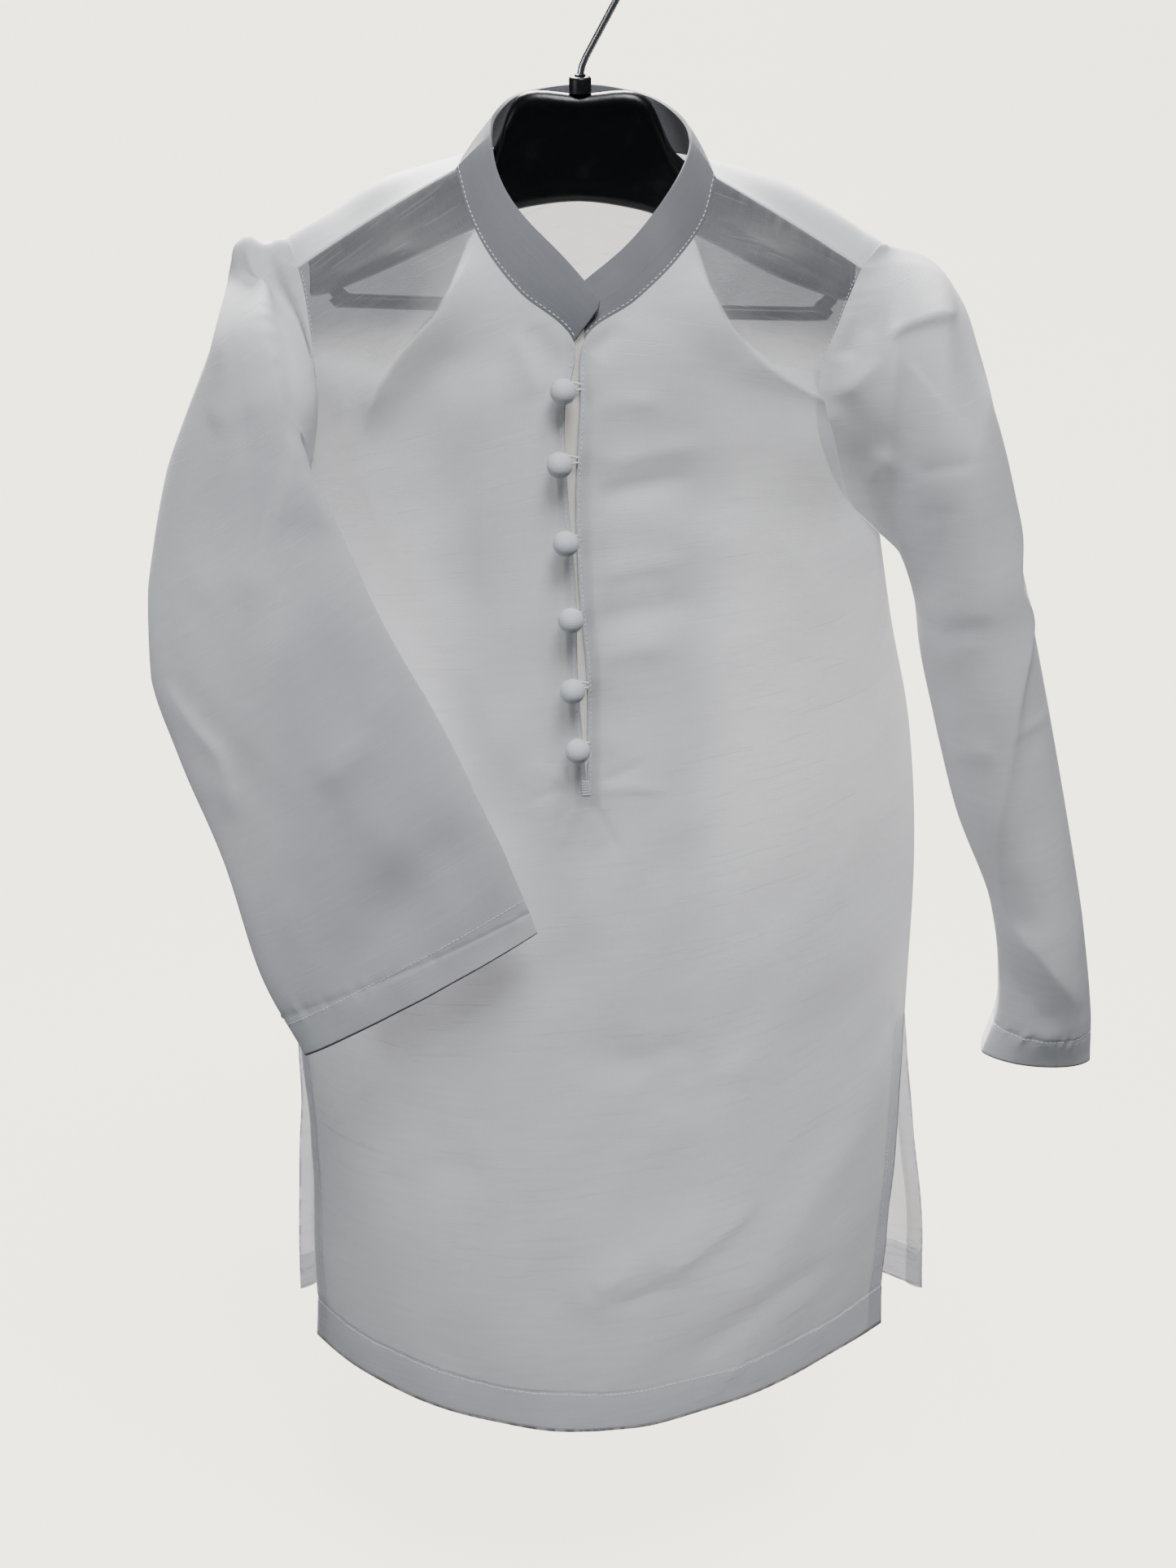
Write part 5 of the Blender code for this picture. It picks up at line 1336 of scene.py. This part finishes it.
def underlap_grid():
    """Strip behind the slit, in centimetres."""
    rows = slice(row_of(NECK_ROW), row_of(SLIT_ROW) + 4)
    parts = []
    for half, columns in ((front_left, (4, 3, 1, 0)), (front_right, (0, 1, 3, 4))):
        normal = normals_of(half, (0, -1, 0))
        for column in columns:
            parts.append((half - normal * STRIP_BEHIND)[rows, column])
    left, right = parts[3], parts[4]
    parts[3] = left * 0.75 + right * 0.25
    parts[4] = left * 0.25 + right * 0.75
    grid = np.stack(parts, axis=1)
    top = grid[:1] + np.array([(0, 0.25, 0.9)])
    grid = np.concatenate([top, (top + grid[:1]) / 2, grid])
    run = arc(grid).mean(axis=1)
    grid[..., 1] += 0.025 * np.sin(run * 1.3)[:, None]
    return grid


strip_points = underlap_grid()
strip_side = arc(strip_points, axis=1)
strip_run = arc(strip_points).mean(axis=1)
strip_piece = Cloth("underlap_strip")
strip_down = np.broadcast_to(strip_run[:, None], strip_side.shape)
strip_piece.add(strip_points, np.stack([strip_side - 0.8, strip_down], axis=-1), flip=True)
strip = strip_piece.build(trim_cloth)
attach(strip, "root")
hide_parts("placket_underlap")

# %% [markdown]
# ## Buttons and loops
#
# The buttons are balls covered with the same cloth, gathered behind, on a short shank of
# thread. One is modelled from a sphere, flattened a little where it is gathered, and copied
# six times with its ribs turned another way each time. The loops are thin cords from the
# other edge of the slit.

# %% One covered button
BUTTON_RADIUS = 0.62
BUTTON_HEIGHTS = (-5.3, -8.7, -12.5, -16.3, -20.0, -23.2)
BUTTON_TURNS = (12, 35, -20, 5, 28, -35)

bpy.ops.mesh.primitive_uv_sphere_add(segments=40, ring_count=24, radius=BUTTON_RADIUS * CM,
                                     rotation=(math.pi / 2, 0, 0))
bpy.ops.object.transform_apply(rotation=True)
ball = bpy.context.active_object
bpy.ops.object.mode_set(mode="EDIT")
bpy.ops.mesh.select_all(action="DESELECT")
work = bmesh.from_edit_mesh(ball.data)
for face in work.faces:
    face.select = face.calc_center_median().y > 0.80 * BUTTON_RADIUS * CM
bmesh.update_edit_mesh(ball.data)
bpy.ops.transform.resize(value=(1, 0.55, 1))
bpy.ops.mesh.extrude_region_move(TRANSFORM_OT_translate={"value": (0, 0.0006, 0)})
bpy.ops.transform.resize(value=(0.35, 1, 0.35))
bpy.ops.mesh.extrude_region_move(TRANSFORM_OT_translate={"value": (0, 0.0018, 0)})
bpy.ops.object.mode_set(mode="OBJECT")
work = bmesh.new()
work.from_mesh(ball.data)
for vertex in work.verts:
    turn = math.atan2(vertex.co.z, vertex.co.x)
    behind = max(0.0, vertex.co.y / (BUTTON_RADIUS * CM))
    vertex.co *= 1 + 0.02 * behind * math.sin(13 * turn)
bmesh.ops.recalc_face_normals(work, faces=work.faces)
work.to_mesh(ball.data)
work.free()
ball.data.shade_smooth()
print("faces on a button:", len(ball.data.polygons))

# %% Cords, and places on the edges of the slit
def make_tube(name, points, radius, material, resolution=3):
    """Round cord or wire along points in centimetres, as a mesh."""
    curve = bpy.data.curves.new(name, "CURVE")
    curve.dimensions = "3D"
    curve.bevel_depth = radius * CM
    curve.bevel_resolution = resolution
    curve.use_fill_caps = True
    line = curve.splines.new("POLY")
    line.points.add(len(points) - 1)
    for stop, point in zip(line.points, points):
        stop.co = (point[0] * CM, point[1] * CM, (point[2] - HOOK_DROP) * CM, 1)
    made = bpy.data.objects.new(name, curve)
    scene.collection.objects.link(made)
    bpy.ops.object.select_all(action="DESELECT")
    made.select_set(True)
    bpy.context.view_layer.objects.active = made
    bpy.ops.object.convert(target="MESH")
    made = bpy.context.active_object
    made.data.materials.clear()
    made.data.materials.append(material)
    made.data.shade_smooth()
    return made


def edge_at(edge, z, axis):
    """x or y of an edge of the slit at a height."""
    return float(np.interp(-z, -edge[:, 2], edge[:, axis]))


slit_edges = [half[row_of(NECK_ROW):, 0] for half in (front_left, front_right)]
print("foot of the slit:", round(edge_at(slit_edges[0], -25.0, 0), 2), "cm from the middle")

# %% Six buttons and their loops
for number, (z, turn) in enumerate(zip(BUTTON_HEIGHTS, BUTTON_TURNS), 1):
    x = edge_at(slit_edges[0], z, 0) - 0.28
    y = edge_at(slit_edges[0], z, 1) - 0.20 - BUTTON_RADIUS
    mesh = ball.data.copy()
    mesh.name = f"covered_button_{number}"
    points = np.array([v.co[:] for v in mesh.vertices])
    cosine, sine = math.cos(math.radians(turn)), math.sin(math.radians(turn))
    layer = mesh.uv_layers.active
    layer.name = "weave"
    flat = points[:, [0, 2]] @ np.array(((cosine, sine), (-sine, cosine)))
    bulge = 1 + 0.35 * (np.linalg.norm(flat, axis=1, keepdims=True) / (BUTTON_RADIUS * CM)) ** 2
    corners = np.array([loop.vertex_index for loop in mesh.loops])
    layer.data.foreach_set("uv", (flat * bulge)[corners].ravel())
    tilt = math.radians(6 * math.sin(number * 2.4))
    level, lean = math.cos(tilt), math.sin(tilt)
    turned = points @ np.array(((level, 0, -lean), (0, 1, 0), (lean, 0, level)))
    placed = turned + (x * CM, y * CM, (z - HOOK_DROP) * CM)
    mesh.vertices.foreach_set("co", placed.ravel())
    mesh.materials.clear()
    mesh.materials.append(button_cloth)
    button = bpy.data.objects.new(mesh.name, mesh)
    scene.collection.objects.link(button)
    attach(button, "root")
    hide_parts(f"button_{number}")
    loop_x = edge_at(slit_edges[1], z, 0)
    angles = np.radians(np.linspace(100, 260, 17))
    route = [(loop_x + 0.10, 0.12), (loop_x + 0.04, 0.12)]
    route += [(x + 0.31 * math.cos(a), 0.31 * math.sin(a)) for a in angles]
    route += [(loop_x + 0.04, -0.12), (loop_x + 0.10, -0.12)]
    cord = [(px, edge_at(slit_edges[0], z + rise, 1) - 0.09, z + rise) for px, rise in route]
    loop = make_tube(f"cord_loop_{number}", cord, 0.055, thread_material)
    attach(loop, "root")
    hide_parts(f"loop_{number}")
bpy.data.objects.remove(ball)
print("buttons and loops:", len(BUTTON_HEIGHTS), "of each")

# %% [markdown]
# ## Thread
#
# The rows of stitches were kept as each seam was made. A bar tack is added at the foot of the
# slit: a few close stitches that keep it from tearing. Two thousand small objects would be
# slow to handle, so all the stitches become one piece.

# %% Bar tack and one mesh of stitches
TACK_HEIGHT = -25.55
for k in range(9):
    z = TACK_HEIGHT + 0.09 * (k - 4)
    x = edge_at(slit_edges[0], z, 0)
    y = edge_at(slit_edges[0], z, 1) - 0.03
    sew(np.array([(x - 0.16 - 0.2, y, z), (x + 0.30, y, z + 0.03)]), np.array([(0, -1, 0), (0, -1, 0)]),
        pitch=0.33, length=0.46, thickness=0.06)
stitch_points = np.vstack([row.reshape(-1, 3) for row in sewn])
count = len(stitch_points) // len(STITCH_POINTS)
faces = [tuple(n + k * len(STITCH_POINTS) for n in face) for k in range(count) for face in STITCH_FACES]
mesh = bpy.data.meshes.new("stitches")
mesh.from_pydata(((stitch_points - (0, 0, HOOK_DROP)) * CM).tolist(), [], faces)
mesh.shade_smooth()
mesh.materials.append(thread_material)
stitches = bpy.data.objects.new("stitches", mesh)
scene.collection.objects.link(stitches)
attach(stitches, "root")
print("stitches:", count)

# %% [markdown]
# ## Hanger
#
# The hanger is moulded black plastic: a deep plate at the neck, wide arms and a bar. Its
# section is a plate between two thick rounded rims, which catch the light. A circle is drawn
# out section by section from one end to the other, as a moulder thinks of it.

# %% Plastic, black metal and wire
plastic, net = new_material("black_moulded_plastic")
spot = net.node("ShaderNodeTexCoord", None, None, 3)
grain = net.node("ShaderNodeTexNoise", None, {"Vector": spot, "Scale": 900.0, "Detail": 3.0})
scuff = net.node("ShaderNodeTexNoise", None, {"Vector": spot, "Scale": 60.0, "Detail": 4.0})
finish(net, net.node("ShaderNodeBsdfPrincipled", None, {
    "Base Color": scuff.step(0.55, 0.8).mix((0.003, 0.003, 0.004, 1.0), (0.010, 0.010, 0.012, 1.0)),
    "Roughness": 0.24 + grain * 0.14 + scuff.step(0.6, 0.8) * 0.18, "Specular IOR Level": 0.40,
    "Normal": net.node("ShaderNodeBump", None, {"Height": grain, "Distance": 0.0002, "Strength": 0.25})}))

black_metal, net = new_material("black_ferrule_metal")
spot = net.node("ShaderNodeTexCoord", None, None, 3)
grain = net.node("ShaderNodeTexNoise", None, {"Vector": spot, "Scale": 700.0, "Detail": 2.0})
finish(net, net.node("ShaderNodeBsdfPrincipled", None, {
    "Base Color": grain.mix((0.012, 0.012, 0.013, 1.0), (0.04, 0.04, 0.042, 1.0)), "Metallic": 0.6,
    "Roughness": 0.28 + grain * 0.2,
    "Normal": net.node("ShaderNodeBump", None, {"Height": grain, "Distance": 0.0001, "Strength": 0.3})}))

wire_metal, net = new_material("bright_drawn_wire")
spot = net.node("ShaderNodeTexCoord", None, None, 3)
drawn = net.node("ShaderNodeMapping", None, {"Vector": spot, "Scale": (2600.0, 2600.0, 120.0)})
lines = net.node("ShaderNodeTexNoise", None, {"Vector": drawn, "Scale": 1.0, "Detail": 2.0})
finish(net, net.node("ShaderNodeBsdfPrincipled", None, {
    "Base Color": lines.mix((0.48, 0.48, 0.50, 1.0), (0.72, 0.72, 0.74, 1.0)), "Metallic": 1.0,
    "Roughness": 0.18 + lines * 0.2,
    "Normal": net.node("ShaderNodeBump", None, {"Height": lines, "Distance": 0.0001, "Strength": 0.25})}))
print("hard finishes: plastic, black metal, wire")

# %% Sections of the hanger
HANGER = (
    # x, y, top, bottom, half_depth
    (-13.2, 0.5, -0.60, -2.90, 1.35),
    (-12.2, 0.5, 0.10, -2.70, 1.55),
    (-9.5, 0.4, 1.40, -1.60, 1.50),
    (-6.5, 0.3, 2.80, -0.20, 1.10),
    (-4.3, 0.1, 4.00, 0.80, 0.80),
    (-2.9, 0.0, 6.75, 1.40, 0.70),
    (0.0, 0.0, 6.80, 1.75, 0.70),
    (3.0, 0.0, 6.75, 1.30, 0.70),
    (4.6, 0.1, 4.00, 0.60, 0.80),
    (6.8, 0.3, 2.70, -0.50, 1.10),
    (9.5, 0.4, 1.30, -1.90, 1.50),
    (12.4, 0.5, 0.00, -3.00, 1.55),
    (13.4, 0.5, -0.70, -3.20, 1.35),
)
HANGER_BAR = ((-12.6, -1.6), (-11.6, -2.9), (-10.0, -3.1), (10.0, -3.7), (11.8, -3.4), (12.8, -2.2))   # x, z
RING = 32


def hanger_ring(x, y, top, bottom, half_depth):
    """Section of the hanger: a rim above, a thinner plate, and a rim below."""
    angle = 2 * math.pi * np.arange(RING) / RING
    sine, cosine = np.sin(angle), np.cos(angle)
    sway = half_depth * np.sign(cosine) * np.abs(cosine) ** 0.75
    rise = np.sign(sine) * np.abs(sine) ** 0.75
    height = (top - bottom) / 2
    rim = 0.45 / height
    waist = smooth((1 - rim - np.abs(rise)) / 0.22) * (half_depth < 1.4) * 0.42
    sway = sway * (1 - waist)
    return np.column_stack([np.full(RING, x), y + sway, (top + bottom) / 2 + height * rise])


def draw_out(name, rings):
    """A tube drawn out from one ring of points to the next, by extruding its end face."""
    bpy.ops.mesh.primitive_circle_add(vertices=len(rings[0]), radius=0.01, fill_type="NGON")
    made = bpy.context.active_object
    made.name = name
    made.data.name = name
    bpy.ops.object.mode_set(mode="EDIT")
    for number, ring in enumerate(rings):
        if number:
            bpy.ops.mesh.extrude_region_move()
        work = bmesh.from_edit_mesh(made.data)
        work.verts.ensure_lookup_table()
        for vertex, point in zip(work.verts[-len(ring):], ring):
            vertex.co = (point[0] * CM, point[1] * CM, (point[2] - HOOK_DROP) * CM)
        bmesh.update_edit_mesh(made.data)
    bpy.ops.mesh.select_all(action="SELECT")
    bpy.ops.mesh.normals_make_consistent(inside=False)
    bpy.ops.object.mode_set(mode="OBJECT")
    made.data.shade_smooth()
    return made


print("sections of the hanger:", len(HANGER))

# %% Moulded body
sections = curve_at(HANGER, np.linspace(0, len(HANGER) - 1, 73))
body = draw_out("hanger_moulding", [hanger_ring(*section) for section in sections])
bar_line = curve_at([(x, -0.2, z) for x, z in HANGER_BAR], np.linspace(0, len(HANGER_BAR) - 1, 41))
bar = make_tube("bar", bar_line, 0.35, plastic, 5)
bpy.ops.object.select_all(action="DESELECT")
bar.select_set(True)
body.select_set(True)
bpy.context.view_layer.objects.active = body
bpy.ops.object.join()
bevel = body.modifiers.new("soft ends", "BEVEL")
bevel.width = 0.12 * CM
bevel.segments = 3
bevel.limit_method = "ANGLE"
bevel.angle_limit = math.radians(60)
bpy.ops.object.modifier_apply(modifier=bevel.name)
body.data.materials.clear()
body.data.materials.append(plastic)
for face in body.data.polygons:
    face.material_index = 0
body.data.shade_smooth()
bpy.ops.object.shade_smooth_by_angle(angle=math.radians(50))
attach(body, "root")
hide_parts("hanger_body")
print("hanger faces:", len(body.data.polygons))

# %% Ferrule
bpy.ops.object.select_all(action="DESELECT")
bpy.ops.mesh.primitive_cylinder_add(vertices=48, radius=0.53 * CM, depth=0.74 * CM,
                                    location=(0, 0, (6.88 + 0.37 - HOOK_DROP) * CM))
ferrule = bpy.context.active_object
ferrule.name = "ferrule"
bpy.ops.object.transform_apply(location=True)
bpy.ops.object.mode_set(mode="EDIT")
bpy.ops.mesh.select_all(action="DESELECT")
work = bmesh.from_edit_mesh(ferrule.data)
for edge in work.edges:
    edge.select = all(v.co.z > (7.5 - HOOK_DROP) * CM for v in edge.verts) and len(edge.link_faces) == 2
bmesh.update_edit_mesh(ferrule.data)
bpy.ops.mesh.bevel(offset=0.13 * CM, segments=4, affect="EDGES")
bpy.ops.mesh.select_all(action="DESELECT")
work = bmesh.from_edit_mesh(ferrule.data)
for face in work.faces:
    face.select = face.normal.z > 0.99 and len(face.verts) > 8
bmesh.update_edit_mesh(ferrule.data)
bpy.ops.mesh.inset(thickness=0.14 * CM)
bpy.ops.mesh.extrude_region_move(TRANSFORM_OT_translate={"value": (0, 0, 0.09 * CM)})
bpy.ops.mesh.inset(thickness=0.03 * CM, depth=0.02 * CM)
bpy.ops.object.mode_set(mode="OBJECT")
ferrule.data.materials.append(black_metal)
ferrule.data.shade_smooth()
bpy.ops.object.shade_smooth_by_angle(angle=math.radians(40))
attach(ferrule, "root")
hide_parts("hanger_ferrule")
print("ferrule faces:", len(ferrule.data.polygons))

# %% [markdown]
# ## Hook
#
# The hook is one bright wire that leaves the ferrule at a slight lean and bends round above
# it. A small circle set across the wire is spun about the middle of the bend, which is how
# the real wire is bent round a pin, and its end face is then drawn down to the ferrule.

# %% Hook
WIRE = 0.165
HOOK_MIDDLE = Vector((0.0, 0.0, (12.835 - HOOK_DROP) * CM))
HOOK_BEND = 2.33 * CM
HOOK_START, HOOK_END = math.radians(-28.4), math.radians(205)
STEM = ((0.25, 8.45, 0), (0.10, 8.10, 14), (0.0, 7.66, 14))   # x, z, turn in degrees

bpy.ops.object.select_all(action="DESELECT")
at_start = HOOK_MIDDLE + HOOK_BEND * Vector((math.cos(HOOK_START), 0, math.sin(HOOK_START)))
bpy.ops.mesh.primitive_circle_add(vertices=20, radius=WIRE * CM, fill_type="NGON", location=at_start,
                                  rotation=(0, -HOOK_START, 0))
hook = bpy.context.active_object
hook.name = "wire_hook"
bpy.ops.object.transform_apply(location=True, rotation=True)
bpy.ops.object.mode_set(mode="EDIT")
bpy.ops.mesh.select_all(action="SELECT")
bpy.ops.mesh.spin(steps=64, angle=HOOK_END - HOOK_START, center=HOOK_MIDDLE, axis=(0, 1, 0))
bpy.ops.mesh.select_all(action="DESELECT")
work = bmesh.from_edit_mesh(hook.data)
ends = sorted((face for face in work.faces if len(face.verts) == 20),
              key=lambda face: (face.calc_center_median() - at_start).length)
print("ends of the wire:", [tuple(round(c / CM, 2) for c in face.calc_center_median()) for face in ends])
ends[0].select = True
bmesh.update_edit_mesh(hook.data)
place = at_start
for x, z, turn in STEM:
    move = Vector((x * CM, 0, (z - HOOK_DROP) * CM)) - place
    place = place + move
    bpy.ops.mesh.extrude_region_move(TRANSFORM_OT_translate={"value": move})
    bpy.ops.transform.rotate(value=math.radians(turn), orient_axis="Y", center_override=place)
bpy.ops.mesh.select_all(action="SELECT")
bpy.ops.mesh.normals_make_consistent(inside=False)
bpy.ops.object.mode_set(mode="OBJECT")
hook.data.materials.append(wire_metal)
hook.data.shade_smooth()
bpy.ops.object.shade_smooth_by_angle(angle=math.radians(50))
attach(hook, "root")
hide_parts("hook")

# %% [markdown]
# ## Sheets of cloth
#
# The areas are those of the cut pieces, which are no rectangles, with what is turned in. Both
# sleeves are cut alike.

# %% Sheets
CUTS = (
    # piece, width, length, area, what it hangs from
    (front, 0.44, 0.72, 0.270, (body,)),
    (back, 0.45, 0.74, 0.275, (body,)),
    (sleeve_right, 0.34, 0.48, 0.115, (front, back)),
    (sleeve_left, 0.34, 0.48, 0.115, (front, back)),
    (collar, 0.35, 0.030, 0.0095, (front, back)),
    (strip, 0.018, 0.24, 0.0040, (front,)),
)
for piece, width, length, area, above in CUTS:
    measured = sum(face.area for face in piece.data.polygons)
    print(f"{piece.name}: {measured:.4f} square metres of {area:.4f} cut")

# %% [markdown]
# ## Floor and light
#
# The garment hangs before a plain pale floor. Broad light comes from behind and above, so the
# cloth glows where it is one layer thick, and a second soft light above the camera reaches the
# shoulders and the front. A weak one at the left lifts the sleeve that lies in shade. Light
# that the floor would throw back is left out: it would come from below, flatten every fold and
# whiten the black plastic.

# %% Floor
bpy.ops.object.select_all(action="DESELECT")
bpy.ops.mesh.primitive_plane_add(size=30, location=(0, 6, -0.98))
floor = bpy.context.active_object
floor.name = "floor"
floor_material, net = new_material("pale_floor")
spot = net.node("ShaderNodeTexCoord", None, None, 3)
mottle = net.node("ShaderNodeTexNoise", None, {"Vector": spot, "Scale": 3.0, "Detail": 2.0})
finish(net, net.node("ShaderNodeBsdfPrincipled", None, {
    "Base Color": mottle.mix((0.77, 0.735, 0.62, 1.0), (0.79, 0.755, 0.65, 1.0)), "Roughness": 0.9}))
floor.data.materials.append(floor_material)
floor.visible_diffuse = False
floor.visible_transmission = False
floor.visible_glossy = False

# %% Light
world = bpy.data.worlds.new("studio")
scene.world = world
world.use_nodes = True
sky = world.node_tree.nodes["Background"]
sky.inputs["Color"].default_value = (0.93, 0.96, 1.0, 1.0)
sky.inputs["Strength"].default_value = 0.06


def soft_light(name, place, aim, size, power, colour):
    """Square area light that faces a point."""
    data = bpy.data.lights.new(name, "AREA")
    data.size = size
    data.energy = power
    data.color = colour
    lamp = bpy.data.objects.new(name, data)
    lamp.location = place
    lamp.rotation_euler = (Vector(aim) - Vector(place)).to_track_quat("-Z", "Y").to_euler()
    scene.collection.objects.link(lamp)
    return lamp


sun = bpy.data.objects.new("window_behind", bpy.data.lights.new("window_behind", "SUN"))
sun.data.energy = 21.0
sun.data.angle = math.radians(34)
sun.data.color = (1.0, 0.98, 0.95)
sun.rotation_euler = Vector((0.12, -0.77, -0.63)).to_track_quat("-Z", "Y").to_euler()
scene.collection.objects.link(sun)
soft_light("window_above", (0.50, -1.35, 2.80), (0, -0.05, -0.40), 1.3, 132, (0.94, 0.97, 1.0))
soft_light("left_fill", (-1.30, -0.90, 0.00), (0, -0.05, -0.45), 0.5, 5, (0.88, 0.94, 1.0))
